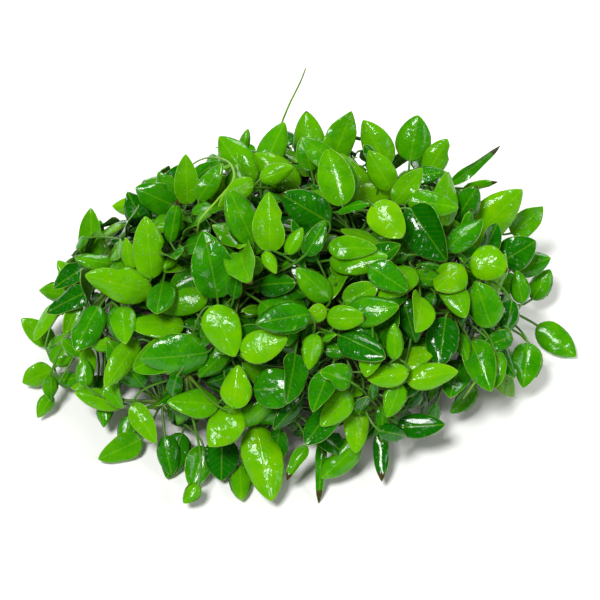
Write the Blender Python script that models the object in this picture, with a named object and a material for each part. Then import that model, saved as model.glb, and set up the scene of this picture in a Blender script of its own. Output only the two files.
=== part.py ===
"""Anubias on stone: a small-leaved anubias grown all over a rounded stone.

The stone stands on its flat underside at z = 0, with the origin at the middle of that face. Rhizomes creep
down it from the crown, and a leafy shoot rises from them at each tier. A few thin roots stand free of the leaves.
Places are worked out in millimetres and turned to metres where a mesh is made.
"""
import math
import random
from dataclasses import dataclass, field

import bmesh
import bpy
from mathutils import Matrix, Vector, noise
from mathutils.bvhtree import BVHTree

NAME = "anubias_on_stone"
MM = 0.001
UP = Vector((0, 0, 1))

# ---- the stone (mm)
STONE_HALF_WIDTH = 60
STONE_HALF_DEPTH = 42
STONE_WAIST = 15
STONE_TOP = 46
STONE_BELLY = 24
STONE_LUMPS = 0.16
STONE_LUMP_FREQUENCY = 1.5
STONE_SUBDIVISIONS = 3

# ---- rhizomes and shoots (mm, degrees)
RHIZOMES = 11
RHIZOME_RADIUS = 1.9
RHIZOME_CLEARANCE = 1.5
RHIZOME_POINTS = 8
LONG_TIERS = (74, 52, 32, 11)
SHORT_TIERS = (62, 42, 22, 3)
RHIZOME_DRIFT = 9
RHIZOME_DRIFT_TURNS = 2.2
RHIZOME_HEAD = 6
RHIZOME_TAIL = 3
RHIZOME_HIGHEST = 84
TUBE_TIP_SHARE = 0.7
SHOOT_GAP = 1.1
SHOOT_LENGTH = 7
SHOOT_RADIUS = 1.9
SHOOT_TIP_RADIUS = 1.3
SHOOT_SIDES = 7
SHOOT_SWEEP = 0.35
STALKS_BELOW_TOP = 0.35

# ---- leaves (mm)
STALK_THICK = 1.1
STALK_ROOT = 1.6
LONG_STALK = 18
LONGEST_STALK = 30
STALK_BOW = 0.06
STALK_BOW_AT = 0.55
BLADE_THICK = 0.5
BLADE_STEPS = (0.0, 0.26, 0.66)
BLADE_SHOULDER = 0.6
BLADE_TAPER = 0.8
ELBOW_ROOM = 0.35
GROUND_ROOM = 1.2
LOWEST_MIDDLE = 6
YOUNG_LIFT = 2.5
LEAVES_A_SHOOT = (4, 5)
MOST_LEAVES_A_SHOOT = 6
NEAREST_SHOOTS = 3
TRIES = 90
SEED = 11

# ---- leaves that stand out: how they lean, and how much freer each further try is (degrees, mm)
SHOW_TILT = 14
SHOW_TILT_SLACK = 34
SHOW_TURN_SLACK = 14
SHOW_ROLL = 10
SHOW_ROLL_SLACK = 20
SHOW_LIFT_SLACK = 9
SHOW_ARCH = 0.1
SHOW_FOLD = 0.12

# ---- the other leaves: ranges (degrees, mm, shares)
GOLDEN_ANGLE = 137.5
BEARING_SLACK = 25
RISE = (8, 66)
BLADE_LENGTH = (14, 21)
BLADE_SHRINK = 0.4
STALK_LENGTH = (6, 15)
OUTWARD = (0.0, 0.5)
LIGHT_ALONG = 1.4
LIGHT_UP = 0.7
ROLL = 30
BLADE_SHARE = (0.5, 0.64)
ARCH = (0.05, 0.22)
FOLD = 0.14
STEEP = 0.9

# ---- the mound (mm): its show side looks to the front and up, and its outline is given on that plane
SHOW_CLIMB = math.radians(50)
SHOW_RIGHT = Vector((1, 0, 0))
SHOW_UP = Vector((0, math.sin(SHOW_CLIMB), math.cos(SHOW_CLIMB)))
SHOW_OUT = Vector((0, -math.cos(SHOW_CLIMB), math.sin(SHOW_CLIMB)))
SKIN = Vector((86, 64, 72))
REACH = (95, 91, 84, 77, 74, 84, 94, 76, 61, 51, 52, 58)
ENVELOPE = Vector((97, 75, 87))

# ---- leaves that stand out on the show side, one row each: the middle of the blade (across, up) and the
# way its tip points (turn, degrees from right towards up) on the show plane, then length, width, and age
# from 0, a fresh bright leaf, to 1, an old dark one.
CROWN_LEAVES = (
    (-38, 54, 88, 17, 8.5, 0.25),
    (-30, 53, 55, 15, 7, 0.4),
    (-22, 61, 130, 20, 12, 0.4),
    (-21, 49, 215, 15, 7.5, 0.15),
    (-9, 66, 72, 19, 9.5, 0.35),
    (3, 68, 97, 20, 11.5, 0.25),
    (14, 69, 68, 20, 11, 0.4),
    (26, 67, 118, 18, 11, 0.3),
    (39, 69, 80, 16, 12.5, 0.5),
    (47, 63, 60, 14, 9, 0.35),
    (27, 57, 120, 15, 9.5, 0.2),
    (13, 54, 105, 19, 13, 0.6),
    (2, 44, 150, 19, 12.5, 0.9),
    (-10, 39, 92, 19, 11, 0.08),
    (-8, 56, 20, 12, 7, 0.15),
    (36, 52, 52, 15, 8, 0.25),
)
RIGHT_LEAVES = (
    (60, 60, 38, 22, 4.5, 0.6),
    (66, 42, 43, 26, 14, 0.05),
    (63, 26, 340, 13, 12.5, 0.05),
    (50, 22, 215, 14, 12, 0.05),
    (61, 12, 110, 16, 12, 0.5),
    (74, 30, 30, 14, 12, 0.95),
    (79, 26, 15, 14, 9, 0.6),
    (78, 41, 40, 14, 9.5, 0.45),
    (88, 0, 322, 17, 10, 0.45),
    (76, -8, 262, 15, 10, 0.6),
    (65, -9, 270, 13, 8, 0.5),
    (29, 40, 315, 15, 12, 0.03),
    (42, 36, 305, 21, 15.5, 0.95),
    (44, 46, 350, 17, 9.5, 0.4),
    (47, 0, 262, 17, 11.5, 1.0),
    (43, -11, 12, 17, 9, 0.05),
    (29, -11, 190, 14, 8, 0.1),
    (12, -22, 228, 15, 9, 0.2),
    (40, -28, 3, 16, 8.5, 1.0),
    (27, -38, 272, 17, 5.5, 1.0),
)
LEFT_LEAVES = (
    (-71, 36, 92, 18, 9, 0.35),
    (-78, 21, 125, 14, 8, 0.3),
    (-60, 19, 165, 23, 12.5, 0.1),
    (-50, 31, 95, 21, 11.5, 0.2),
    (-48, 48, 160, 15, 11, 0.7),
    (-90, 3, 140, 14, 8, 0.25),
    (-89, -12, 205, 11, 8.5, 0.15),
    (-67, -19, 165, 17, 7.5, 0.1),
    (-59, -7, 237, 19, 9, 0.2),
    (-71, -8, 270, 12, 6, 0.2),
    (-60, -36, 205, 16, 9.5, 0.5),
    (-52, -27, 300, 15, 7.5, 0.2),
    (-41, -5, 190, 22, 15, 0.6),
    (-35, -20, 175, 17, 10, 0.35),
)
FRONT_LEAVES = (
    (-29, 25, 100, 22, 14.5, 0.75),
    (-25, 4, 295, 18, 13, 0.05),
    (-12, -1, 18, 16, 11, 0.08),
    (-21, -15, 85, 14, 10.5, 0.1),
    (-25, -28, 230, 16, 12, 0.08),
    (-12, -40, 283, 26, 14, 0.05),
    (-7, -15, 5, 17, 13.5, 0.7),
    (-26, -39, 270, 14, 12, 0.95),
    (-34, -42, 255, 15, 9.5, 0.5),
    (-1, -40, 240, 13, 5, 0.4),
    (7, -42, 268, 22, 4, 0.6),
    (5, 19, 130, 15, 9.5, 0.45),
    (5, 9, 200, 9, 6.5, 0.0),
    (15, 8, 352, 13, 8.5, 0.12),
    (20, 16, 30, 13, 8.5, 0.3),
    (21, -1, 290, 15, 10.5, 0.85),
    (17, 31, 0, 16, 8, 0.3),
)

# ---- free roots: points (across, up) on the show plane and how far each stands out from the leaves' skin
ROOT_RADIUS = 0.45
ROOTS = {
    "root_crown": ((-9, 52, -22), (-8, 62, -12), (-7, 72, -4), (-4, 80, 0), (0, 88, 2), (2, 93, 2)),
    "root_arc": ((-34, 34, -12), (-33, 40, 2), (-27, 47, 5), (-22, 54, 5), (-24, 60, 5), (-31, 62, 5),
                 (-37, 59, 4), (-41, 52, 0)),
    "root_right": ((60, -3, -6), (60, -10, -2), (57, -15, 0), (54, -19, 1)),
}

# ---- colours (linear RGB), roughness
STONE_COLOUR = (0.045, 0.035, 0.03)
RHIZOME_COLOUR = (0.09, 0.16, 0.02)
LEAF_COLOUR = (0.07, 0.30, 0.012)
ROOT_COLOUR = (0.28, 0.42, 0.05)
STONE_ROUGHNESS = 0.8
PLANT_ROUGHNESS = 0.3


@dataclass
class Leaf:
    """A leaf in millimetres: its stalk runs from root to base, and its blade from base along aim."""

    root: Vector
    base: Vector
    aim: Vector
    face: Vector
    length: float
    width: float
    age: float
    arch: float
    fold: float


@dataclass
class Shoot:
    """A rising rhizome tip: its foot, its top, the way it looks, and the leaves that grow from it."""

    foot: Vector
    top: Vector
    axis: Vector
    leaves: list = field(default_factory=list)


class Crowd:
    """The solids placed so far, against which each new leaf is tested."""

    def __init__(self):
        """Start with nothing placed."""
        self.solids = []

    def add(self, points, faces):
        """Place a solid."""
        centre = sum(points, Vector()) / len(points)
        radius = max((p - centre).length for p in points)
        self.solids.append((centre, radius, BVHTree.FromPolygons(points, faces)))

    def is_clear(self, points, faces):
        """Say whether a solid would touch none of those placed."""
        centre = sum(points, Vector()) / len(points)
        radius = max((p - centre).length for p in points)
        tree = BVHTree.FromPolygons(points, faces)
        for other, reach, solid in self.solids:
            if (other - centre).length < radius + reach and tree.overlap(solid):
                return False
        return True


def on_show_plane(across, up, lift=0.0):
    """The point on the mound's skin under a spot of the show plane, raised by lift."""
    flat = SHOW_RIGHT * across + SHOW_UP * up
    a = sum((SHOW_OUT[i] / SKIN[i]) ** 2 for i in range(3))
    b = sum(SHOW_OUT[i] * flat[i] / SKIN[i] ** 2 for i in range(3))
    c = sum((flat[i] / SKIN[i]) ** 2 for i in range(3)) - 1
    depth = (math.sqrt(max(b * b - a * c, 0.0)) - b) / a
    depth = max(depth, (LOWEST_MIDDLE - flat.z) / SHOW_OUT.z)
    return flat + SHOW_OUT * (depth + lift)


def reach_at(angle):
    """The mound's reach on the show plane at an angle in radians, eased between the twelve given."""
    step = (angle / (2 * math.pi) % 1.0) * len(REACH)
    low = int(step) % len(REACH)
    ease = (1 - math.cos(math.pi * (step - int(step)))) / 2
    return REACH[low] * (1 - ease) + REACH[(low + 1) % len(REACH)] * ease


def within_mound(point):
    """Whether a point stays inside the mound's outline and its envelope."""
    across = point.dot(SHOW_RIGHT)
    up = point.dot(SHOW_UP)
    inside = sum((point[i] / ENVELOPE[i]) ** 2 for i in range(3)) < 1
    return inside and math.hypot(across, up) < reach_at(math.atan2(up, across))


def blade_width(t):
    """The blade's width along its length, as a share of its greatest."""
    widest = BLADE_SHOULDER / (BLADE_SHOULDER + BLADE_TAPER)
    return (t / widest) ** BLADE_SHOULDER * ((1 - t) / (1 - widest)) ** BLADE_TAPER


def square_ring(middle, along, out, half):
    """Four points round a stalk, anticlockwise as seen from its far end."""
    side = along.cross(out).normalized() * half
    top = side.cross(along).normalized() * half
    return [middle - side, middle + top, middle + side, middle - top]


def leaf_rings(leaf, room=0.0):
    """The leaf's cross-sections from stalk to blade, and its tip. Room thickens them all."""
    stalk = leaf.base - leaf.root
    along = stalk.normalized()
    half = STALK_THICK / 2 + room
    rings = [square_ring(leaf.root + along * STALK_ROOT, along, leaf.face, half)]
    if stalk.length > LONG_STALK:
        bow = leaf.face * (stalk.length * STALK_BOW)
        rings.append(square_ring(leaf.root + stalk * STALK_BOW_AT + bow, along, leaf.face, half))
    side = leaf.aim.cross(leaf.face)
    for t in BLADE_STEPS:
        middle = blade_middle(leaf, t)
        across = max(leaf.width / 2 * blade_width(t), STALK_THICK / 2) + room
        rise = leaf.face * (leaf.fold * across)
        thick = leaf.face * (BLADE_THICK / 2 + room)
        left = middle - side * across + rise
        right = middle + side * across + rise
        rings.append([left, middle + thick, right, middle - thick])
    return rings, blade_middle(leaf, 1.0) + leaf.aim * room


def blade_middle(leaf, t):
    """The point of the midrib at a share t of the blade's length."""
    return leaf.base + leaf.aim * (leaf.length * t) - leaf.face * (leaf.arch * leaf.length * t * t)


def leaf_polygons(leaf, room):
    """The leaf's points and faces as one closed body, for testing it against its neighbours."""
    rings, tip = leaf_rings(leaf, room)
    points = [p for ring in rings for p in ring] + [tip]
    faces = [(3, 2, 1, 0)]
    for i in range(len(rings) - 1):
        for k in range(4):
            low = i * 4
            faces.append((low + k, low + (k + 1) % 4, low + 4 + (k + 1) % 4, low + 4 + k))
    last = (len(rings) - 1) * 4
    faces += [(last + k, last + (k + 1) % 4, len(points) - 1) for k in range(4)]
    return points, faces


def tube_polygons(path, radius, sides=6):
    """A plain tube's points and faces, for testing."""
    points = []
    faces = []
    for i, middle in enumerate(path):
        along = (path[min(i + 1, len(path) - 1)] - path[max(i - 1, 0)]).normalized()
        side = along.cross(UP if abs(along.z) < STEEP else SHOW_RIGHT).normalized()
        top = side.cross(along)
        for k in range(sides):
            turn = 2 * math.pi * k / sides
            points.append(middle + (side * math.cos(turn) + top * math.sin(turn)) * radius)
    for i in range(len(path) - 1):
        for k in range(sides):
            low = i * sides
            after = (k + 1) % sides
            faces.append((low + k, low + after, low + sides + after, low + sides + k))
    return points, faces


def grow_leaf(crowd, leaf, bounded):
    """Place the leaf if it is over the ground, clear of all before it and, if bounded, within the mound."""
    points, faces = leaf_polygons(leaf, ELBOW_ROOM)
    if min(p.z for p in points) < GROUND_ROOM:
        return False
    if bounded and not all(within_mound(p) for p in points):
        return False
    if not crowd.is_clear(points, faces):
        return False
    crowd.add(*leaf_polygons(leaf, 0.0))
    return True


def grow_show_leaf(crowd, shoots, row, dice):
    """Grow one of the leaves that stand out, from the nearest shoot that has room for it."""
    across, up, turn, length, width, age = row
    for attempt in range(TRIES):
        slack = attempt / TRIES
        tilt = math.radians(SHOW_TILT + SHOW_TILT_SLACK * slack * dice.uniform(-1, 1))
        spin = math.radians(turn + SHOW_TURN_SLACK * slack * dice.uniform(-1, 1))
        flat = SHOW_RIGHT * math.cos(spin) + SHOW_UP * math.sin(spin)
        aim = (flat * math.cos(tilt) + SHOW_OUT * math.sin(tilt)).normalized()
        roll = math.radians(SHOW_ROLL + SHOW_ROLL_SLACK * slack) * dice.uniform(-1, 1)
        face = (SHOW_OUT - aim * SHOW_OUT.dot(aim)).normalized()
        face = Matrix.Rotation(roll, 3, aim) @ face
        lift = YOUNG_LIFT * (1 - 2 * age) + SHOW_LIFT_SLACK * slack * dice.uniform(-1, 1)
        middle = on_show_plane(across, up, lift)
        base = middle - aim * (length / 2)
        ready = [s for s in shoots if len(s.leaves) < MOST_LEAVES_A_SHOOT]
        ready.sort(key=lambda s: (s.top - base).length)
        for shoot in ready[:NEAREST_SHOOTS]:
            if (base - shoot.top).length > LONGEST_STALK:
                continue
            root = stalk_root(shoot, base)
            leaf = Leaf(root, base, aim, face, length, width, age, SHOW_ARCH, SHOW_FOLD)
            if grow_leaf(crowd, leaf, bounded=False):
                shoot.leaves.append(leaf)
                return True
    return False


def stalk_root(shoot, base):
    """Where a stalk towards base leaves the side of its shoot."""
    out = base - shoot.top
    out = (out - shoot.axis * out.dot(shoot.axis)).normalized()
    return shoot.top - shoot.axis * (SHOOT_LENGTH * STALKS_BELOW_TOP) + out * SHOOT_TIP_RADIUS


def grow_shoot_leaves(crowd, shoot, count, dice):
    """Fill a shoot up to a count of leaves that spiral round it, each in the first clear place it finds."""
    side = shoot.axis.cross(SHOW_UP if abs(shoot.axis.dot(SHOW_UP)) < STEEP else SHOW_RIGHT).normalized()
    bearing = dice.uniform(0, 360)
    for _ in range(count - len(shoot.leaves)):
        for attempt in range(TRIES):
            bearing += GOLDEN_ANGLE + dice.uniform(-BEARING_SLACK, BEARING_SLACK)
            rise = math.radians(dice.uniform(*RISE))
            out = Matrix.Rotation(math.radians(bearing), 3, shoot.axis) @ side
            way = out * math.cos(rise) + shoot.axis * math.sin(rise)
            length = dice.uniform(*BLADE_LENGTH) * (1 - BLADE_SHRINK * attempt / TRIES)
            stalk = dice.uniform(*STALK_LENGTH)
            root = shoot.top - shoot.axis * (SHOOT_LENGTH * STALKS_BELOW_TOP) + out * SHOOT_TIP_RADIUS
            base = root + way * stalk
            light = (shoot.axis * LIGHT_ALONG + UP * LIGHT_UP).normalized()
            aim = (way + out * dice.uniform(*OUTWARD)).normalized()
            face = (light - aim * light.dot(aim)).normalized()
            face = Matrix.Rotation(math.radians(dice.uniform(-ROLL, ROLL)), 3, aim) @ face
            width = length * dice.uniform(*BLADE_SHARE)
            leaf = Leaf(root, base, aim, face, length, width, dice.random(), dice.uniform(*ARCH), FOLD)
            if grow_leaf(crowd, leaf, bounded=True):
                shoot.leaves.append(leaf)
                break


def plant():
    """Grow the whole plant on the stone: the rhizomes' routes, the shoots and the roots' routes."""
    stone = stone_bmesh()
    skin = BVHTree.FromBMesh(stone)
    crowd = Crowd()
    crowd.add([v.co.copy() for v in stone.verts], [[v.index for v in f.verts] for f in stone.faces])
    stone.free()
    routes = []
    shoots = []
    for k in range(RHIZOMES):
        tiers = LONG_TIERS if k % 2 == 0 else SHORT_TIERS
        routes.append(rhizome_route(skin, k, tiers))
        shoots += [shoot_at(skin, k, climb) for climb in tiers]
        crowd.add(*tube_polygons(routes[-1], RHIZOME_RADIUS + ELBOW_ROOM))
    for shoot in shoots:
        crowd.add(*tube_polygons([shoot.foot, shoot.top], SHOOT_RADIUS + ELBOW_ROOM, SHOOT_SIDES))
    roots = {name: [on_show_plane(*spot) for spot in spots] for name, spots in ROOTS.items()}
    for path in roots.values():
        crowd.add(*tube_polygons(path, ROOT_RADIUS + ELBOW_ROOM))
    dice = random.Random(SEED)
    for row in sorted(FRONT_LEAVES + RIGHT_LEAVES + CROWN_LEAVES + LEFT_LEAVES, key=lambda row: row[-1]):
        grow_show_leaf(crowd, shoots, row, dice)
    for number, shoot in enumerate(shoots):
        grow_shoot_leaves(crowd, shoot, LEAVES_A_SHOOT[number % 2], dice)
    return routes, shoots, roots


def stone_bmesh():
    """The stone in millimetres: a lumpy rounded body, cut flat at z = 0."""
    bm = bmesh.new()
    bmesh.ops.create_icosphere(bm, subdivisions=STONE_SUBDIVISIONS, radius=1.0)
    for vert in bm.verts:
        way = vert.co.normalized()
        lump = 1 + STONE_LUMPS * noise.noise(way * STONE_LUMP_FREQUENCY)
        height = STONE_TOP - STONE_WAIST if way.z > 0 else STONE_BELLY
        body = Vector((way.x * STONE_HALF_WIDTH, way.y * STONE_HALF_DEPTH, way.z * height))
        vert.co = body * lump
        vert.co.z += STONE_WAIST
    everything = bm.verts[:] + bm.edges[:] + bm.faces[:]
    bmesh.ops.bisect_plane(bm, geom=everything, plane_co=(0, 0, 0), plane_no=-UP, clear_outer=True)
    rim = [edge for edge in bm.edges if edge.is_boundary]
    bmesh.ops.contextual_create(bm, geom=rim)
    bmesh.ops.recalc_face_normals(bm, faces=bm.faces)
    bm.verts.index_update()
    return bm


def rhizome_bearing(k, climb):
    """The bearing of rhizome k at a climb, which drifts as it creeps down."""
    drift = RHIZOME_DRIFT * (1 if k % 3 else -1)
    return 360 * k / RHIZOMES + drift * math.sin(math.radians(climb) * RHIZOME_DRIFT_TURNS)


def on_stone(skin, bearing, climb):
    """The point on the stone and its outward normal, seen from the middle of its waist."""
    flat = math.cos(math.radians(climb))
    turn = math.radians(bearing)
    rise = math.sin(math.radians(climb)) * (STONE_TOP - STONE_WAIST)
    way = Vector((flat * math.cos(turn) * STONE_HALF_WIDTH, flat * math.sin(turn) * STONE_HALF_DEPTH, rise))
    way.normalize()
    start = Vector((0, 0, STONE_WAIST))
    point, normal, _, _ = skin.ray_cast(start, way)
    if normal.dot(way) < 0:
        normal = -normal
    return point, (normal + way).normalized()


def rhizome_route(skin, k, tiers):
    """The middle line of rhizome k, from above its highest shoot to below its lowest."""
    start = min(tiers[0] + RHIZOME_HEAD, RHIZOME_HIGHEST)
    end = tiers[-1] - RHIZOME_TAIL
    route = []
    for i in range(RHIZOME_POINTS):
        climb = start + (end - start) * i / (RHIZOME_POINTS - 1)
        point, normal = on_stone(skin, rhizome_bearing(k, climb), climb)
        route.append(point + normal * (RHIZOME_RADIUS + RHIZOME_CLEARANCE))
    return route


def shoot_at(skin, k, climb):
    """The bare shoot that rises from rhizome k at a climb."""
    point, normal = on_stone(skin, rhizome_bearing(k, climb), climb)
    axis = (normal + UP * SHOOT_SWEEP).normalized()
    foot = point + normal * (2 * RHIZOME_RADIUS + RHIZOME_CLEARANCE + SHOOT_GAP)
    return Shoot(foot, foot + axis * SHOOT_LENGTH, axis)


def shoot_bmesh(shoot):
    """A shoot in millimetres: a stub of rhizome with each leaf extruded from one of its sides."""
    bm = bmesh.new()
    turn = shoot.axis.to_track_quat("Z", "Y").to_matrix().to_4x4()
    place = Matrix.Translation((shoot.foot + shoot.top) / 2) @ turn
    bmesh.ops.create_cone(bm, cap_ends=True, segments=SHOOT_SIDES, radius1=SHOOT_RADIUS,
                          radius2=SHOOT_TIP_RADIUS, depth=SHOOT_LENGTH, matrix=place)
    sides = [face for face in bm.faces if len(face.verts) == 4]
    for leaf in shoot.leaves:
        way = (leaf.base - leaf.root).normalized()
        face = max(sides, key=lambda f: f.normal.dot(way))
        sides.remove(face)
        rings, tip = leaf_rings(leaf)
        for ring in rings:
            face = bmesh.ops.extrude_discrete_faces(bm, faces=[face])["faces"][0]
            corners = [loop.vert for loop in face.loops]
            moves = [sum((corners[i].co - ring[(i + s) % 4]).length for i in range(4)) for s in range(4)]
            shift = moves.index(min(moves))
            for i, vert in enumerate(corners):
                vert.co = ring[(i + shift) % 4]
        bmesh.ops.poke(bm, faces=[face])["verts"][0].co = tip
    return bm


def principled(name, colour, roughness):
    """A plain material of one colour."""
    material = bpy.data.materials.new(name)
    material.use_nodes = True
    shader = material.node_tree.nodes["Principled BSDF"]
    shader.inputs["Base Color"].default_value = (*colour, 1)
    shader.inputs["Roughness"].default_value = roughness
    shader.inputs["Metallic"].default_value = 0.0
    return material


def add_mesh(collection, name, bm, colour, roughness):
    """Turn a body in millimetres into a named object in metres with its own material."""
    bmesh.ops.scale(bm, vec=(MM, MM, MM), verts=bm.verts)
    mesh = bpy.data.meshes.new(name)
    bm.to_mesh(mesh)
    bm.free()
    mesh.materials.append(principled(name, colour, roughness))
    collection.objects.link(bpy.data.objects.new(name, mesh))


def add_tube(collection, name, path, radius, colour):
    """A stem or root: a curve with a round section and closed ends, thinner towards its ends."""
    curve = bpy.data.curves.new(name, "CURVE")
    curve.dimensions = "3D"
    curve.bevel_depth = radius * MM
    curve.bevel_resolution = 1
    curve.use_fill_caps = True
    spline = curve.splines.new("POLY")
    spline.points.add(len(path) - 1)
    for i, point in enumerate(path):
        spline.points[i].co = (*(point * MM), 1)
        spline.points[i].radius = 1 if 0 < i < len(path) - 1 else TUBE_TIP_SHARE
    curve.materials.append(principled(name, colour, PLANT_ROUGHNESS))
    collection.objects.link(bpy.data.objects.new(name, curve))


def main():
    """Clear the scene, grow the plant and model each piece of it."""
    for old in list(bpy.data.objects):
        bpy.data.objects.remove(old, do_unlink=True)
    parts = bpy.data.collections.new(NAME)
    bpy.context.scene.collection.children.link(parts)
    routes, shoots, roots = plant()
    add_mesh(parts, "stone", stone_bmesh(), STONE_COLOUR, STONE_ROUGHNESS)
    for number, route in enumerate(routes, 1):
        add_tube(parts, f"rhizome_{number:02d}", route, RHIZOME_RADIUS, RHIZOME_COLOUR)
    for number, shoot in enumerate(shoots, 1):
        add_mesh(parts, f"shoot_{number:02d}", shoot_bmesh(shoot), LEAF_COLOUR, PLANT_ROUGHNESS)
    for name, path in roots.items():
        add_tube(parts, name, path, ROOT_RADIUS, ROOT_COLOUR)


main()
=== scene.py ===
"""Anubias on stone: the finished look of a small-leaved anubias grown all over a rounded stone.

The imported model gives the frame. The plant is grown again here by the rule its solids were grown by, so
each fine shoot takes the place of its solid, and then more leaves fill the mound between them. Places are
worked out in millimetres, with the origin at the middle of the stone's flat underside, and turned to metres
where a mesh is made.
"""
from __future__ import annotations

import logging
import math
import random
from collections.abc import Iterable, Sequence
from dataclasses import dataclass, field
from enum import Enum

import bmesh
import bpy
import numpy as np
from mathutils import Matrix, Vector, noise
from mathutils.bvhtree import BVHTree

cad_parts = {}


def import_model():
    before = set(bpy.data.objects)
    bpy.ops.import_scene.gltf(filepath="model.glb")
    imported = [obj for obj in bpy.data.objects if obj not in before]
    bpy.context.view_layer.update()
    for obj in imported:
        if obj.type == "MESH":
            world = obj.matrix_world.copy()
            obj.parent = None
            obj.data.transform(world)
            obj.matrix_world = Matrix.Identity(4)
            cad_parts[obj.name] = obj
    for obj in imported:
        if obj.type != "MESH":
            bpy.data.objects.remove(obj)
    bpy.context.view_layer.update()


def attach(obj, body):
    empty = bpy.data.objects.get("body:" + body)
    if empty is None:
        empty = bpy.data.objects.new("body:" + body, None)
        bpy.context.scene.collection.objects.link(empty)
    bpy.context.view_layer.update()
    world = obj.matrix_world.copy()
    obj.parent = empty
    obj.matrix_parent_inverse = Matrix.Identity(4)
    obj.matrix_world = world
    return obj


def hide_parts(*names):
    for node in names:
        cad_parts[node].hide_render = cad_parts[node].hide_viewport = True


log = logging.getLogger("anubias_on_stone")

MM = 0.001
UP = Vector((0.0, 0.0, 1.0))
GOLDEN_ANGLE = 137.5
# The most that painted shade darkens a leaf or stem deep in the mound.
PAINTED_DEEP_SHADE = 0.72

# The show side of the mound looks to the front and up, and the camera looks straight at it.
SHOW_CLIMB = math.radians(50)
SHOW_RIGHT = Vector((1.0, 0.0, 0.0))
SHOW_UP = Vector((0.0, math.sin(SHOW_CLIMB), math.cos(SHOW_CLIMB)))
SHOW_OUT = Vector((0.0, -math.cos(SHOW_CLIMB), math.sin(SHOW_CLIMB)))

Row = tuple[float, float, float, float, float, float]
Path = list[Vector]

# ---- leaves that stand out on the show side, one row each: the middle of the blade (across, up) and the
# way its tip points (turn, degrees from right towards up) on the show plane, then length, width, and age
# from 0, a fresh bright leaf, to 1, an old dark one.
CROWN_LEAVES: tuple[Row, ...] = (
    (-38, 54, 88, 17, 8.5, 0.25),
    (-30, 53, 55, 15, 7, 0.4),
    (-22, 61, 130, 20, 12, 0.4),
    (-21, 49, 215, 15, 7.5, 0.15),
    (-9, 66, 72, 19, 9.5, 0.35),
    (3, 68, 97, 20, 11.5, 0.25),
    (14, 69, 68, 20, 11, 0.4),
    (26, 67, 118, 18, 11, 0.3),
    (39, 69, 80, 16, 12.5, 0.5),
    (47, 63, 60, 14, 9, 0.35),
    (27, 57, 120, 15, 9.5, 0.2),
    (13, 54, 105, 19, 13, 0.6),
    (2, 44, 150, 19, 12.5, 0.9),
    (-10, 39, 92, 19, 11, 0.08),
    (-8, 56, 20, 12, 7, 0.15),
    (36, 52, 52, 15, 8, 0.25),
)
RIGHT_LEAVES: tuple[Row, ...] = (
    (60, 60, 38, 22, 4.5, 0.6),
    (66, 42, 43, 26, 14, 0.05),
    (63, 26, 340, 13, 12.5, 0.05),
    (50, 22, 215, 14, 12, 0.05),
    (61, 12, 110, 16, 12, 0.5),
    (74, 30, 30, 14, 12, 0.95),
    (79, 26, 15, 14, 9, 0.6),
    (78, 41, 40, 14, 9.5, 0.45),
    (88, 0, 322, 17, 10, 0.45),
    (76, -8, 262, 15, 10, 0.6),
    (65, -9, 270, 13, 8, 0.5),
    (29, 40, 315, 15, 12, 0.03),
    (42, 36, 305, 21, 15.5, 0.95),
    (44, 46, 350, 17, 9.5, 0.4),
    (47, 0, 262, 17, 11.5, 1.0),
    (43, -11, 12, 17, 9, 0.05),
    (29, -11, 190, 14, 8, 0.1),
    (12, -22, 228, 15, 9, 0.2),
    (40, -28, 3, 16, 8.5, 1.0),
    (27, -38, 272, 17, 5.5, 1.0),
)
LEFT_LEAVES: tuple[Row, ...] = (
    (-71, 36, 92, 18, 9, 0.35),
    (-78, 21, 125, 14, 8, 0.3),
    (-60, 19, 165, 23, 12.5, 0.1),
    (-50, 31, 95, 21, 11.5, 0.2),
    (-48, 48, 160, 15, 11, 0.7),
    (-90, 3, 140, 14, 8, 0.25),
    (-89, -12, 205, 11, 8.5, 0.15),
    (-67, -19, 165, 17, 7.5, 0.1),
    (-59, -7, 237, 19, 9, 0.2),
    (-71, -8, 270, 12, 6, 0.2),
    (-60, -36, 205, 16, 9.5, 0.5),
    (-52, -27, 300, 15, 7.5, 0.2),
    (-41, -5, 190, 22, 15, 0.6),
    (-35, -20, 175, 17, 10, 0.35),
)
FRONT_LEAVES: tuple[Row, ...] = (
    (-29, 25, 100, 22, 14.5, 0.75),
    (-25, 4, 295, 18, 13, 0.05),
    (-12, -1, 18, 16, 11, 0.08),
    (-21, -15, 85, 14, 10.5, 0.1),
    (-25, -28, 230, 16, 12, 0.08),
    (-12, -40, 283, 26, 14, 0.05),
    (-7, -15, 5, 17, 13.5, 0.7),
    (-26, -39, 270, 14, 12, 0.95),
    (-34, -42, 255, 15, 9.5, 0.5),
    (-1, -40, 240, 13, 5, 0.4),
    (7, -42, 268, 22, 4, 0.6),
    (5, 19, 130, 15, 9.5, 0.45),
    (5, 9, 200, 9, 6.5, 0.0),
    (15, 8, 352, 13, 8.5, 0.12),
    (20, 16, 30, 13, 8.5, 0.3),
    (21, -1, 290, 15, 10.5, 0.85),
    (17, 31, 0, 16, 8, 0.3),
)
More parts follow.
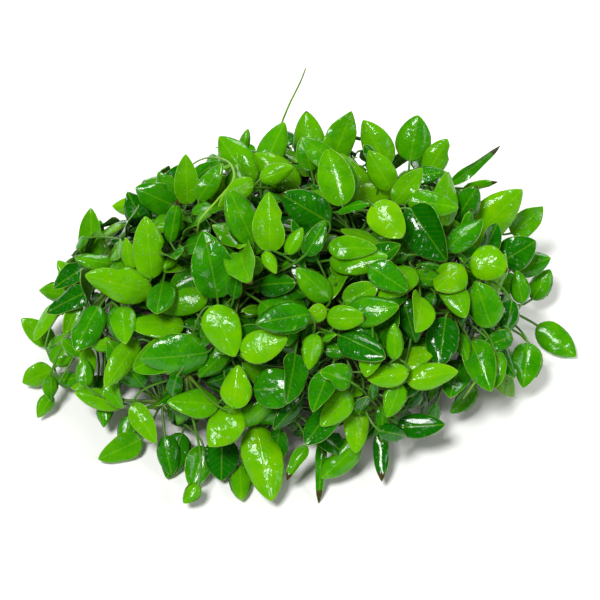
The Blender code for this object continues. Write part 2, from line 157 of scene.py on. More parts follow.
# Smaller leaves seen between those, in the same terms. They have no solid of their own.
LESSER_LEAVES: tuple[Row, ...] = (
    (-83, 16, 170, 13, 8, 0.3),
    (-69, 27, 170, 13, 7, 0.5),
    (-57, 29, 100, 11, 6, 0.1),
    (-61, 32, 100, 14, 10, 0.6),
    (-55, 44, 115, 14, 9, 1.0),
    (-45, 52, 120, 11, 8, 0.5),
    (-19, 68, 75, 9, 4, 0.4),
    (-19, 41, 115, 20, 12, 0.55),
    (-18, 25, 180, 12, 8, 0.5),
    (-10, 26, 300, 8, 5, 0.1),
    (-2, 33, 60, 10, 6, 0.25),
    (-66, -1, 180, 8, 6, 0.3),
    (-60, 6, 280, 12, 8, 0.6),
    (-77, 8, 248, 13, 6, 0.25),
    (-80, -4, 30, 11, 9, 0.35),
    (-84, -16, 280, 9, 6, 0.5),
    (-42, -38, 250, 16, 10, 0.75),
    (-36, -50, 230, 8, 6, 0.3),
    (-20, -46, 275, 14, 8, 0.3),
    (31, -19, 250, 12, 8, 0.3),
    (12, -11, 150, 11, 9, 0.55),
    (31, 0, 90, 12, 6.5, 0.35),
    (88, 28, 350, 9, 6, 0.35),
    (74, 18, 100, 11, 7, 0.5),
    (83, 19, 60, 12, 8, 0.55),
    (70, 8, 260, 12, 8, 0.9),
    (62, 53, 5, 13, 4, 0.45),
    (42, 56, 10, 14, 7, 0.7),
    (56, 46, 60, 15, 10, 0.85),
    (56, 40, 70, 10, 4, 0.6),
    (5, 34, 60, 13, 7, 0.8),
    (29, 21, 330, 15, 10, 0.7),
    (36, 7, 280, 15, 10, 0.9),
    (23, -6, 260, 11, 8, 0.25),
    (4, -3, 260, 12, 7.5, 0.3),
    (-5, 8, 180, 18, 11, 0.8),
    (-42, 40, 80, 15, 6, 0.6),
    (-88, -2, 110, 9, 6, 0.35),
    (-84, -9, 60, 8, 5.5, 0.2),
    (-79, -13, 20, 9, 6, 0.45),
    (-86, -22, 240, 9, 6, 0.3),
    (-80, -24, 290, 8, 5, 0.5),
    (-74, -20, 300, 9, 6, 0.6),
    (-72, -10, 100, 10, 6.5, 0.4),
    (-76, -2, 140, 9, 6, 0.5),
    (-68, -16, 250, 10, 7, 0.6),
    (-90, -12, 180, 8, 5, 0.4),
    (-66, -24, 270, 10, 6, 0.5),
    (-58, -30, 250, 11, 7, 0.5),
    (72, -9, 270, 12, 7, 0.7),
    (64, -10, 250, 11, 7, 0.4),
    (79, -7, 280, 11, 7, 0.6),
    (66, 0, 200, 11, 7, 0.8),
    (-82, -16, 150, 8, 5.5, 0.3),
    (-75, -26, 270, 8, 5, 0.4),
    (-90, -6, 150, 9, 6, 0.5),
    (-70, -4, 60, 9, 6, 0.55),
    (-83, -1, 40, 9, 6, 0.25),
    (-62, -18, 300, 10, 6.5, 0.45),
    (-73, -15, 190, 8, 5, 0.35),
)

# Free roots: points (across, up) on the show plane and how far each stands out from the leaves' skin.
ROOTS: dict[str, tuple[tuple[float, float, float], ...]] = {
    "root_crown": ((-9, 52, -22), (-8, 62, -12), (-7, 72, -4), (-4, 80, 0), (0, 88, 2), (2, 93, 2)),
    "root_arc": ((-34, 34, -12), (-33, 40, 2), (-27, 47, 5), (-22, 54, 5), (-24, 60, 5), (-31, 62, 5),
                 (-37, 59, 4), (-41, 52, 0)),
    "root_right": ((60, -3, -6), (60, -10, -2), (57, -15, 0), (54, -19, 1)),
}


class Slot(Enum):
    """The record's material slots."""

    STONE = "stone"
    RHIZOME = "rhizome"
    LEAF = "leaf"
    ROOT = "root"


class Kind(Enum):
    """What a solid in the crowd is: bare ground for leaves to cover, or a leaf."""

    BARE = "bare"
    LEAF = "leaf"


# ---------------------------------------------------------------------------------------------- helpers


def srgb(code: str) -> tuple[float, float, float, float]:
    """Turn an sRGB hex colour into linear light.

    Args:
        code: the colour, such as "#7fae3e".

    Returns:
        Linear red, green, blue and an alpha of 1.
    """
    levels = [int(code[i:i + 2], 16) / 255 for i in (1, 3, 5)]
    linear = [v / 12.92 if v <= 0.04045 else ((v + 0.055) / 1.055) ** 2.4 for v in levels]
    return (*linear, 1.0)


def add_node(tree: bpy.types.NodeTree, kind: str, inputs: dict | None = None,
             **settings: object) -> bpy.types.Node:
    """Add a node with its settings and links.

    Args:
        tree: the tree that gets the node.
        kind: the node's type.
        inputs: for each input, by name or number, a value, a socket, or a node whose first output is meant.
        settings: the node's own properties.

    Returns:
        The new node.
    """
    node = tree.nodes.new(kind)
    for name, value in settings.items():
        setattr(node, name, value)
    for key, value in (inputs or {}).items():
        if isinstance(value, bpy.types.Node):
            value = next(out for out in value.outputs if out.enabled)
        if isinstance(value, bpy.types.NodeSocket):
            tree.links.new(value, node.inputs[key])
        else:
            node.inputs[key].default_value = value
    return node


def paint_deep_shade(tree: bpy.types.NodeTree, colour: bpy.types.Node) -> bpy.types.Node:
    """Darken a colour with painted shade, by how deep in the mound its leaf or stem is.

    Args:
        tree: the material's tree.
        colour: the node that gives the colour.

    Returns:
        The node that gives the darkened colour.
    """
    depth = add_node(tree, "ShaderNodeAttribute", attribute_name="depth").outputs["Fac"]
    light = add_node(tree, "ShaderNodeMath", {0: depth, 1: -PAINTED_DEEP_SHADE, 2: 1.0}, operation="MULTIPLY_ADD")
    return add_node(tree, "ShaderNodeVectorMath", {0: colour, 3: light}, operation="SCALE")


def new_material(name: str) -> tuple[bpy.types.Material, bpy.types.NodeTree, bpy.types.Node]:
    """Make an empty node material.

    Args:
        name: what the real finish is.

    Returns:
        The material, its tree and its Principled node.
    """
    material = bpy.data.materials.new(name)
    material.use_nodes = True
    tree = material.node_tree
    return material, tree, tree.nodes["Principled BSDF"]


def smooth_path(points: Sequence[Vector], steps: int) -> Path:
    """Run a smooth line through some points.

    Args:
        points: the points it passes through.
        steps: how many points it gets between each two.

    Returns:
        The finer path.
    """
    ends = [points[0] * 2 - points[1], *points, points[-1] * 2 - points[-2]]
    path = []
    for i in range(1, len(ends) - 2):
        a, b, c, d = ends[i - 1:i + 3]
        for k in range(steps):
            t = k / steps
            path.append(((b * 2) + (c - a) * t + (a * 2 - b * 5 + c * 4 - d) * t ** 2
                         + (b * 3 - a - c * 3 + d) * t ** 3) / 2)
    return path + [points[-1].copy()]


# ------------------------------------------------------------------------------------- the growth rule


@dataclass(frozen=True)
class Mound:
    """The outer shape of the whole plant, in millimetres."""

    skin: tuple[float, float, float] = (86, 64, 72)
    reach: tuple[float, ...] = (95, 91, 84, 77, 74, 84, 94, 76, 61, 51, 52, 58)
    envelope: tuple[float, float, float] = (97, 75, 87)
    lowest_middle: float = 6

    def on_show_plane(self, across: float, up: float, lift: float = 0.0) -> Vector:
        """Find the point on the mound's skin under a spot of the show plane.

        Args:
            across: how far right the spot is.
            up: how far up it is.
            lift: how far to raise the point off the skin.

        Returns:
            The point.
        """
        flat = SHOW_RIGHT * across + SHOW_UP * up
        a = sum((SHOW_OUT[i] / self.skin[i]) ** 2 for i in range(3))
        b = sum(SHOW_OUT[i] * flat[i] / self.skin[i] ** 2 for i in range(3))
        c = sum((flat[i] / self.skin[i]) ** 2 for i in range(3)) - 1
        depth = (math.sqrt(max(b * b - a * c, 0.0)) - b) / a
        depth = max(depth, (self.lowest_middle - flat.z) / SHOW_OUT.z)
        return flat + SHOW_OUT * (depth + lift)

    def reach_at(self, angle: float) -> float:
        """Ease between the mound's twelve reaches on the show plane.

        Args:
            angle: the bearing in radians.

        Returns:
            The reach there.
        """
        step = (angle / (2 * math.pi) % 1.0) * len(self.reach)
        low = int(step) % len(self.reach)
        ease = (1 - math.cos(math.pi * (step - int(step)))) / 2
        return self.reach[low] * (1 - ease) + self.reach[(low + 1) % len(self.reach)] * ease

    def holds(self, point: Vector) -> bool:
        """Say whether a point is inside the mound's outline and its envelope.

        Args:
            point: the point.

        Returns:
            Whether it is inside.
        """
        across = point.dot(SHOW_RIGHT)
        up = point.dot(SHOW_UP)
        inside = sum((point[i] / self.envelope[i]) ** 2 for i in range(3)) < 1
        return inside and math.hypot(across, up) < self.reach_at(math.atan2(up, across))


@dataclass
class Leaf:
    """A leaf in millimetres: its stalk runs from root to base, and its blade from base along aim."""

    root: Vector
    base: Vector
    aim: Vector
    face: Vector
    length: float
    width: float
    age: float
    arch: float
    fold: float

    stalk_thick = 1.1
    stalk_root = 1.6
    long_stalk = 18
    blade_thick = 0.5
    blade_steps = (0.0, 0.26, 0.66)
    shoulder = 0.6
    taper = 0.8

    def middle(self, t: float) -> Vector:
        """Give the point of the midrib at a share t of the blade's length."""
        return self.base + self.aim * (self.length * t) - self.face * (self.arch * self.length * t * t)

    def share(self, t: float) -> float:
        """Give the blade's width at t, as a share of its greatest."""
        widest = self.shoulder / (self.shoulder + self.taper)
        return (t / widest) ** self.shoulder * ((1 - t) / (1 - widest)) ** self.taper

    @staticmethod
    def ring(middle: Vector, along: Vector, out: Vector, half: float) -> Path:
        """Give four points round a stalk, anticlockwise as seen from its far end.

        Args:
            middle: the middle of the ring.
            along: the way the stalk runs.
            out: a way across it.
            half: half the stalk's thickness.

        Returns:
            The four points.
        """
        side = along.cross(out).normalized() * half
        top = side.cross(along).normalized() * half
        return [middle - side, middle + top, middle + side, middle - top]

    def rings(self, room: float) -> tuple[list[Path], Vector]:
        """Give the solid leaf's cross-sections.

        Args:
            room: how much to thicken them all.

        Returns:
            The rings from stalk to blade, and the tip.
        """
        stalk = self.base - self.root
        along = stalk.normalized()
        half = self.stalk_thick / 2 + room
        rings = [self.ring(self.root + along * self.stalk_root, along, self.face, half)]
        if stalk.length > self.long_stalk:
            bow = self.face * (stalk.length * 0.06)
            rings.append(self.ring(self.root + stalk * 0.55 + bow, along, self.face, half))
        side = self.aim.cross(self.face)
        for t in self.blade_steps:
            middle = self.middle(t)
            across = max(self.width / 2 * self.share(t), self.stalk_thick / 2) + room
            rise = self.face * (self.fold * across)
            thick = self.face * (self.blade_thick / 2 + room)
            rings.append([middle - side * across + rise, middle + thick, middle + side * across + rise,
                          middle - thick])
        return rings, self.middle(1.0) + self.aim * room

    def polygons(self, room: float) -> tuple[Path, list[tuple[int, ...]]]:
        """Give the leaf as one closed body, for testing it against its neighbours.

        Args:
            room: how much to thicken it.

        Returns:
            Its points and faces.
        """
        rings, tip = self.rings(room)
        points = [p for ring in rings for p in ring] + [tip]
        faces = [(3, 2, 1, 0)]
        for i in range(len(rings) - 1):
            for k in range(4):
                low = i * 4
                faces.append((low + k, low + (k + 1) % 4, low + 4 + (k + 1) % 4, low + 4 + k))
        last = (len(rings) - 1) * 4
        faces += [(last + k, last + (k + 1) % 4, len(points) - 1) for k in range(4)]
        return points, faces


@dataclass
class Shoot:
    """A rising rhizome tip: its foot, its top, the way it looks, and the leaves that grow from it."""

    foot: Vector
    top: Vector
    axis: Vector
    leaves: list[Leaf] = field(default_factory=list)

    length = 7
    radius = 1.9
    tip_radius = 1.3
    sides = 7

    def stalk_root(self, base: Vector) -> Vector:
        """Give the place where a leaf's stalk leaves the side of this shoot.

        Args:
            base: the foot of the leaf's blade.

        Returns:
            The place.
        """
        out = base - self.top
        out = (out - self.axis * out.dot(self.axis)).normalized()
        return self.top - self.axis * (self.length * 0.35) + out * self.tip_radius


class Crowd:
    """The solids placed so far, against which each new leaf is tested."""

    def __init__(self) -> None:
        """Start with nothing placed."""
        self.solids: list[tuple[Vector, float, BVHTree, Kind]] = []

    def add(self, points: Path, faces: Iterable[Sequence[int]], kind: Kind = Kind.LEAF) -> None:
        """Place a solid.

        Args:
            points: its points.
            faces: its faces.
            kind: whether it is a leaf or bare ground.
        """
        centre = sum(points, Vector()) / len(points)
        radius = max((p - centre).length for p in points)
        self.solids.append((centre, radius, BVHTree.FromPolygons(points, faces), kind))

    def is_clear(self, points: Path, faces: Iterable[Sequence[int]]) -> bool:
        """Say whether a solid would touch none of those placed.

        Args:
            points: its points.
            faces: its faces.

        Returns:
            Whether it is clear.
        """
        centre = sum(points, Vector()) / len(points)
        radius = max((p - centre).length for p in points)
        tree = BVHTree.FromPolygons(points, faces)
        for other, reach, solid, _ in self.solids:
            if (other - centre).length < radius + reach and tree.overlap(solid):
                return False
        return True

    def bare_spot(self, start: Vector, way: Vector) -> Vector | None:
        """Look along a line for a place where no leaf hides the ground.

        Args:
            start: where the line starts, outside the mound.
            way: its direction.

        Returns:
            The bare point that it meets first, or None if it meets a leaf or nothing.
        """
        nearest = math.inf
        found = None
        for centre, radius, solid, kind in self.solids:
            to = centre - start
            if (to - way * to.dot(way)).length > radius:
                continue
            point, _, _, distance = solid.ray_cast(start, way)
            if point is not None and distance < nearest:
                nearest = distance
                found = point if kind is Kind.BARE else None
        return found


def tube_polygons(path: Sequence[Vector], radius: float,
                  sides: int = 6) -> tuple[Path, list[tuple[int, ...]]]:
    """Give a plain tube's points and faces, for testing.

    Args:
        path: its middle line.
        radius: its radius.
        sides: how many sides it has.

    Returns:
        Its points and faces.
    """
    points = []
    faces = []
    for i, middle in enumerate(path):
        along = (path[min(i + 1, len(path) - 1)] - path[max(i - 1, 0)]).normalized()
        side = along.cross(UP if abs(along.z) < 0.9 else SHOW_RIGHT).normalized()
        top = side.cross(along)
        for k in range(sides):
            turn = 2 * math.pi * k / sides
            points.append(middle + (side * math.cos(turn) + top * math.sin(turn)) * radius)
    for i in range(len(path) - 1):
        for k in range(sides):
            low = i * sides
            faces.append((low + k, low + (k + 1) % sides, low + sides + (k + 1) % sides, low + sides + k))
    return points, faces


@dataclass(frozen=True)
class StoneShape:
    """The stone's sizes in millimetres: a lumpy rounded body, cut flat at z = 0."""

    half_width: float = 60
    half_depth: float = 42
    waist: float = 15
    top: float = 46
    belly: float = 24
    lumps: float = 0.16
    lump_frequency: float = 1.5

    def solid(self, subdivisions: int, grain: float = 0.0) -> bmesh.types.BMesh:
        """Model the stone.

        Args:
            subdivisions: how fine its faces are.
            grain: how deep its fine lumps and pits are.

        Returns:
            The closed body.
        """
        bm = bmesh.new()
        bmesh.ops.create_icosphere(bm, subdivisions=subdivisions, radius=1.0)
        for vert in bm.verts:
            way = vert.co.normalized()
            lump = 1 + self.lumps * noise.noise(way * self.lump_frequency)
            height = self.top - self.waist if way.z > 0 else self.belly
            vert.co = Vector((way.x * self.half_width, way.y * self.half_depth, way.z * height)) * lump
            vert.co.z += self.waist
            if grain:
                vert.co += way * (grain * self.weathering(vert.co))
        everything = bm.verts[:] + bm.edges[:] + bm.faces[:]
        bmesh.ops.bisect_plane(bm, geom=everything, plane_co=(0, 0, 0), plane_no=(0, 0, -1), clear_outer=True)
        rim = [edge for edge in bm.edges if edge.is_boundary]
        bmesh.ops.contextual_create(bm, geom=rim)
        bmesh.ops.recalc_face_normals(bm, faces=bm.faces)
        bm.verts.index_update()
        return bm

    @staticmethod
    def weathering(point: Vector) -> float:
        """Give the stone's fine relief at a point.

        Args:
            point: the point.

        Returns:
            The relief, from about -1 in a pit to 1 on a knob.
        """
        knobs = noise.fractal(point / 9, 0.9, 2.2, 3)
        pits = min(noise.voronoi(point / 3.4)[0][0] * 1.6, 1.0) - 1.0
        return knobs * 0.9 + pits * 0.5


@dataclass
class Garden:
    """The growth rule: where the rhizomes creep, where shoots rise, and how each leaf finds its place."""

    stone: StoneShape = field(default_factory=StoneShape)
    mound: Mound = field(default_factory=Mound)
    rhizomes: int = 11
    rhizome_radius: float = 1.9
    rhizome_clearance: float = 1.5
    rhizome_points: int = 8
    long_tiers: tuple[float, ...] = (74, 52, 32, 11)
    short_tiers: tuple[float, ...] = (62, 42, 22, 3)
    rhizome_drift: float = 9
    shoot_gap: float = 1.1
    shoot_sweep: float = 0.35
    longest_stalk: float = 30
    elbow_room: float = 0.35
    ground_room: float = 1.2
    young_lift: float = 2.5
    leaves_a_shoot: tuple[int, int] = (4, 5)
    most_leaves_a_shoot: int = 6
    root_radius: float = 0.45
    tries: int = 90
    seed: int = 11
    lesser_most: int = 18
    gap_passes: int = 9
    gap_tries: int = 30
    small_elbow_room: float = 0.1
    small_ground_room: float = 1.4
    small_longest_stalk: float = 42
    shoots_tried: int = 3
    small_shoots_tried: int = 8
    lowest_bare_spot: float = 3
    sight_step: float = 5.5
    sight_lines_round: int = 620
    sight_start: float = 150
    sight_start_round: float = 200
    cover_shoots: int = 5
    cover_lift: tuple[float, float] = (4.0, 15)
    cover_length: tuple[float, float] = (7.5, 16)

    def __post_init__(self) -> None:
        """Grow the plant as far as its solids go."""
        faceted = self.stone.solid(3)
        self.skin = BVHTree.FromBMesh(faceted)
        self.crowd = Crowd()
        self.crowd.add([v.co.copy() for v in faceted.verts],
                       [[v.index for v in f.verts] for f in faceted.faces],
                       Kind.BARE)
        faceted.free()
        self.routes: list[Path] = []
        self.shoots: list[Shoot] = []
        for k in range(self.rhizomes):
            tiers = self.long_tiers if k % 2 == 0 else self.short_tiers
            self.routes.append(self.rhizome_route(k, tiers))
            self.shoots += [self.shoot_at(k, climb) for climb in tiers]
            self.crowd.add(*tube_polygons(self.routes[-1], self.rhizome_radius + self.elbow_room), Kind.BARE)
        for shoot in self.shoots:
            body = tube_polygons([shoot.foot, shoot.top], shoot.radius + self.elbow_room, shoot.sides)
            self.crowd.add(*body, Kind.BARE)
        self.roots = {name: [self.mound.on_show_plane(*spot) for spot in spots]
                      for name, spots in ROOTS.items()}
        for path in self.roots.values():
            self.crowd.add(*tube_polygons(path, self.root_radius + self.elbow_room))
        dice = random.Random(self.seed)
        for row in sorted(FRONT_LEAVES + RIGHT_LEAVES + CROWN_LEAVES + LEFT_LEAVES, key=lambda row: row[5]):
            self.grow_show_leaf(row, self.most_leaves_a_shoot, dice)
        for number, shoot in enumerate(self.shoots):
            self.grow_shoot_leaves(shoot, self.leaves_a_shoot[number % 2], dice)

    def rhizome_bearing(self, k: int, climb: float) -> float:
        """Give the bearing of rhizome k at a climb, which drifts as it creeps down."""
        drift = self.rhizome_drift * (1 if k % 3 else -1)
        return 360 * k / self.rhizomes + drift * math.sin(math.radians(climb) * 2.2)

    def on_stone(self, bearing: float, climb: float) -> tuple[Vector, Vector]:
        """Find a point on the stone as seen from the middle of its waist.

        Args:
            bearing: degrees round the stone.
            climb: degrees up from the waist.

        Returns:
            The point and its outward normal.
        """
        flat = math.cos(math.radians(climb))
        turn = math.radians(bearing)
        way = Vector((flat * math.cos(turn) * self.stone.half_width,
                      flat * math.sin(turn) * self.stone.half_depth,
                      math.sin(math.radians(climb)) * (self.stone.top - self.stone.waist))).normalized()
        start = Vector((0, 0, self.stone.waist))
        point, normal, _, _ = self.skin.ray_cast(start, way)
        if normal.dot(way) < 0:
            normal = -normal
        return point, (normal + way).normalized()

    def rhizome_route(self, k: int, tiers: tuple[float, ...]) -> Path:
        """Give a rhizome's middle line, from above its highest shoot to below its lowest.

        Args:
            k: the rhizome's number.
            tiers: the climbs of its shoots, highest first, in degrees.

        Returns:
            The points of the line.
        """
        start = min(tiers[0] + 6, 84)
        route = []
        for i in range(self.rhizome_points):
            climb = start + (tiers[-1] - 3 - start) * i / (self.rhizome_points - 1)
            point, normal = self.on_stone(self.rhizome_bearing(k, climb), climb)
            route.append(point + normal * (self.rhizome_radius + self.rhizome_clearance))
        return route

    def shoot_at(self, k: int, climb: float) -> Shoot:
        """Give the bare shoot that rises from a rhizome at a climb.

        Args:
            k: the rhizome's number.
            climb: how high on the stone, in degrees.

        Returns:
            The shoot, with no leaves yet.
        """
        point, normal = self.on_stone(self.rhizome_bearing(k, climb), climb)
        axis = (normal + UP * self.shoot_sweep).normalized()
        foot = point + normal * (2 * self.rhizome_radius + self.rhizome_clearance + self.shoot_gap)
        return Shoot(foot, foot + axis * Shoot.length, axis)

    def grow_leaf(self, leaf: Leaf, bounded: bool) -> bool:
        """Place a leaf if it can stand where it is.

        Args:
            leaf: the leaf.
            bounded: whether it has to stay within the mound.

        Returns:
            Whether it was placed.
        """
        points, faces = leaf.polygons(self.elbow_room)
        if min(p.z for p in points) < self.ground_room:
            return False
        if bounded and not all(self.mound.holds(p) for p in points):
            return False
        if not self.crowd.is_clear(points, faces):
            return False
        self.crowd.add(*leaf.polygons(0.0))
        return True

    def grow_show_leaf(self, row: Row, most: int, dice: random.Random) -> bool:
        """Grow one of the leaves that stand out, from the nearest shoot that has room for it.

        Args:
            row: the leaf's row.
            most: how many leaves a shoot may have.
            dice: the random numbers.

        Returns:
            Whether it found a place.
        """
        across, up, turn, length, width, age = row
        for attempt in range(self.tries):
            slack = attempt / self.tries
            tilt = math.radians(14 + 34 * slack * dice.uniform(-1, 1))
            spin = math.radians(turn + 14 * slack * dice.uniform(-1, 1))
            flat = SHOW_RIGHT * math.cos(spin) + SHOW_UP * math.sin(spin)
            aim = (flat * math.cos(tilt) + SHOW_OUT * math.sin(tilt)).normalized()
            roll = math.radians(10 + 20 * slack) * dice.uniform(-1, 1)
            face = (SHOW_OUT - aim * SHOW_OUT.dot(aim)).normalized()
            face = Matrix.Rotation(roll, 3, aim) @ face
            lift = self.young_lift * (1 - 2 * age) + 9 * slack * dice.uniform(-1, 1)
            middle = self.mound.on_show_plane(across, up, lift)
            base = middle - aim * (length / 2)
            ready = [s for s in self.shoots if len(s.leaves) < most]
            ready.sort(key=lambda s: (s.top - base).length)
            for shoot in ready[:self.shoots_tried]:
                if (base - shoot.top).length > self.longest_stalk:
                    continue
                leaf = Leaf(shoot.stalk_root(base), base, aim, face, length, width, age, 0.1, 0.12)
                if self.grow_leaf(leaf, bounded=False):
                    shoot.leaves.append(leaf)
                    return True
        return False

    def grow_shoot_leaves(self, shoot: Shoot, count: int, dice: random.Random) -> None:
        """Fill a shoot up with leaves that spiral round it, each in the first clear place it finds.

        Args:
            shoot: the shoot.
            count: how many leaves it should have.
            dice: the random numbers.
        """
        side = shoot.axis.cross(SHOW_UP if abs(shoot.axis.dot(SHOW_UP)) < 0.9 else SHOW_RIGHT).normalized()
        bearing = dice.uniform(0, 360)
        for _ in range(count - len(shoot.leaves)):
            for attempt in range(self.tries):
                bearing += GOLDEN_ANGLE + dice.uniform(-25, 25)
                rise = math.radians(dice.uniform(8, 66))
                out = Matrix.Rotation(math.radians(bearing), 3, shoot.axis) @ side
                way = out * math.cos(rise) + shoot.axis * math.sin(rise)
                length = dice.uniform(14, 21) * (1 - 0.4 * attempt / self.tries)
                stalk = dice.uniform(6, 15)
                root = shoot.top - shoot.axis * (shoot.length * 0.35) + out * shoot.tip_radius
                base = root + way * stalk
                light = (shoot.axis * 1.4 + UP * 0.7).normalized()
                aim = (way + out * dice.uniform(0.0, 0.5)).normalized()
                face = (light - aim * light.dot(aim)).normalized()
                face = Matrix.Rotation(math.radians(dice.uniform(-30, 30)), 3, aim) @ face
                width = length * dice.uniform(0.5, 0.64)
                leaf = Leaf(root, base, aim, face, length, width, dice.random(), dice.uniform(0.05, 0.22),
                            0.14)
                if self.grow_leaf(leaf, bounded=True):
                    shoot.leaves.append(leaf)
                    break

    def fill(self) -> int:
        """Grow the small leaves that have no solid of their own, so that hardly any stone shows.

        Returns:
            How many grew.
        """
        self.with_solids = [len(shoot.leaves) for shoot in self.shoots]
        dice = random.Random(self.seed + 1)
        self.elbow_room = self.small_elbow_room
        self.ground_room = self.small_ground_room
        self.longest_stalk = self.small_longest_stalk
        self.shoots_tried = self.small_shoots_tried
        for row in sorted(LESSER_LEAVES, key=lambda row: row[5]):
            self.grow_show_leaf(row, self.lesser_most, dice)
        for _ in range(self.gap_passes):
            for start, way in self.sight_lines(dice):
                spot = self.crowd.bare_spot(start, way)
                if spot is not None and spot.z > self.lowest_bare_spot:
                    self.cover(spot, way, dice)
        return sum(len(shoot.leaves) for shoot in self.shoots) - sum(self.with_solids)

    def sight_lines(self, dice: random.Random) -> Iterable[tuple[Vector, Vector]]:
        """Give lines that look at the mound: a grid from the show side, rings from round it, and a dome.

        Args:
            dice: the random numbers.

        Yields:
            The start and the direction of each line.
        """
        step = self.sight_step
        for row in range(-11, 15):
            for column in range(-17, 18):
                across = (column + dice.uniform(-0.5, 0.5)) * step
                up = (row + dice.uniform(-0.5, 0.5)) * step
                if math.hypot(across, up) < self.mound.reach_at(math.atan2(up, across)):
                    yield SHOW_RIGHT * across + SHOW_UP * up + SHOW_OUT * self.sight_start, -SHOW_OUT
        for k in range(self.sight_lines_round):
            bearing = math.radians(k * GOLDEN_ANGLE)
            climb = math.asin(min((k + 0.5) / self.sight_lines_round, 1.0))
            way = Vector((math.cos(bearing) * math.cos(climb), math.sin(bearing) * math.cos(climb),
                          math.sin(climb)))
            target = Vector((dice.uniform(-40, 40), dice.uniform(-25, 25), dice.uniform(4, 34)))
            yield target + way * self.sight_start_round, -way
            low = Vector((way.x, way.y, 0.15)).normalized()
            yield Vector((target.x, target.y, target.z * 0.5)) + low * self.sight_start_round, -low

    def cover(self, spot: Vector, way: Vector, dice: random.Random) -> bool:
        """Grow a leaf over a bare spot, from a shoot close by.

        Args:
            spot: the bare point.
            way: the direction it was seen along.
            dice: the random numbers.

        Returns:
            Whether a leaf found room there.
        """
        near = sorted(self.shoots, key=lambda s: (s.top - spot).length)[:self.cover_shoots]
        near = [s for s in near if len(s.leaves) < self.lesser_most]
        for attempt in range(self.gap_tries):
            if not near:
                return False
            shoot = near[attempt % len(near)]
            middle = spot - way * dice.uniform(*self.cover_lift)
            length = dice.uniform(*self.cover_length) * (1 - 0.35 * attempt / self.gap_tries)
            away = middle - shoot.top
            away = away - way * away.dot(way)
            aim = Matrix.Rotation(math.radians(dice.uniform(-55, 55)), 3, way) @ away
            if aim.length < 0.5:
                continue
            aim = (aim.normalized() - way * dice.uniform(-0.15, 0.5)).normalized()
            base = middle - aim * (length * 0.5)
            reach = (base - shoot.top).length
            if not 2.5 < reach < 27:
                continue
            light = (UP * 0.55 - way).normalized()
            face = (light - aim * light.dot(aim)).normalized()
            face = Matrix.Rotation(math.radians(dice.uniform(-28, 28)), 3, aim) @ face
            width = length * dice.uniform(0.5, 0.66)
            age = 0.4 + 0.6 * dice.random()
            leaf = Leaf(shoot.stalk_root(base), base, aim, face, length, width, age, dice.uniform(0.05, 0.2),
                        0.14)
            if self.grow_leaf(leaf, bounded=True):
                shoot.leaves.append(leaf)
                return True
        return False


# ----------------------------------------------------------------------------------------- finishes


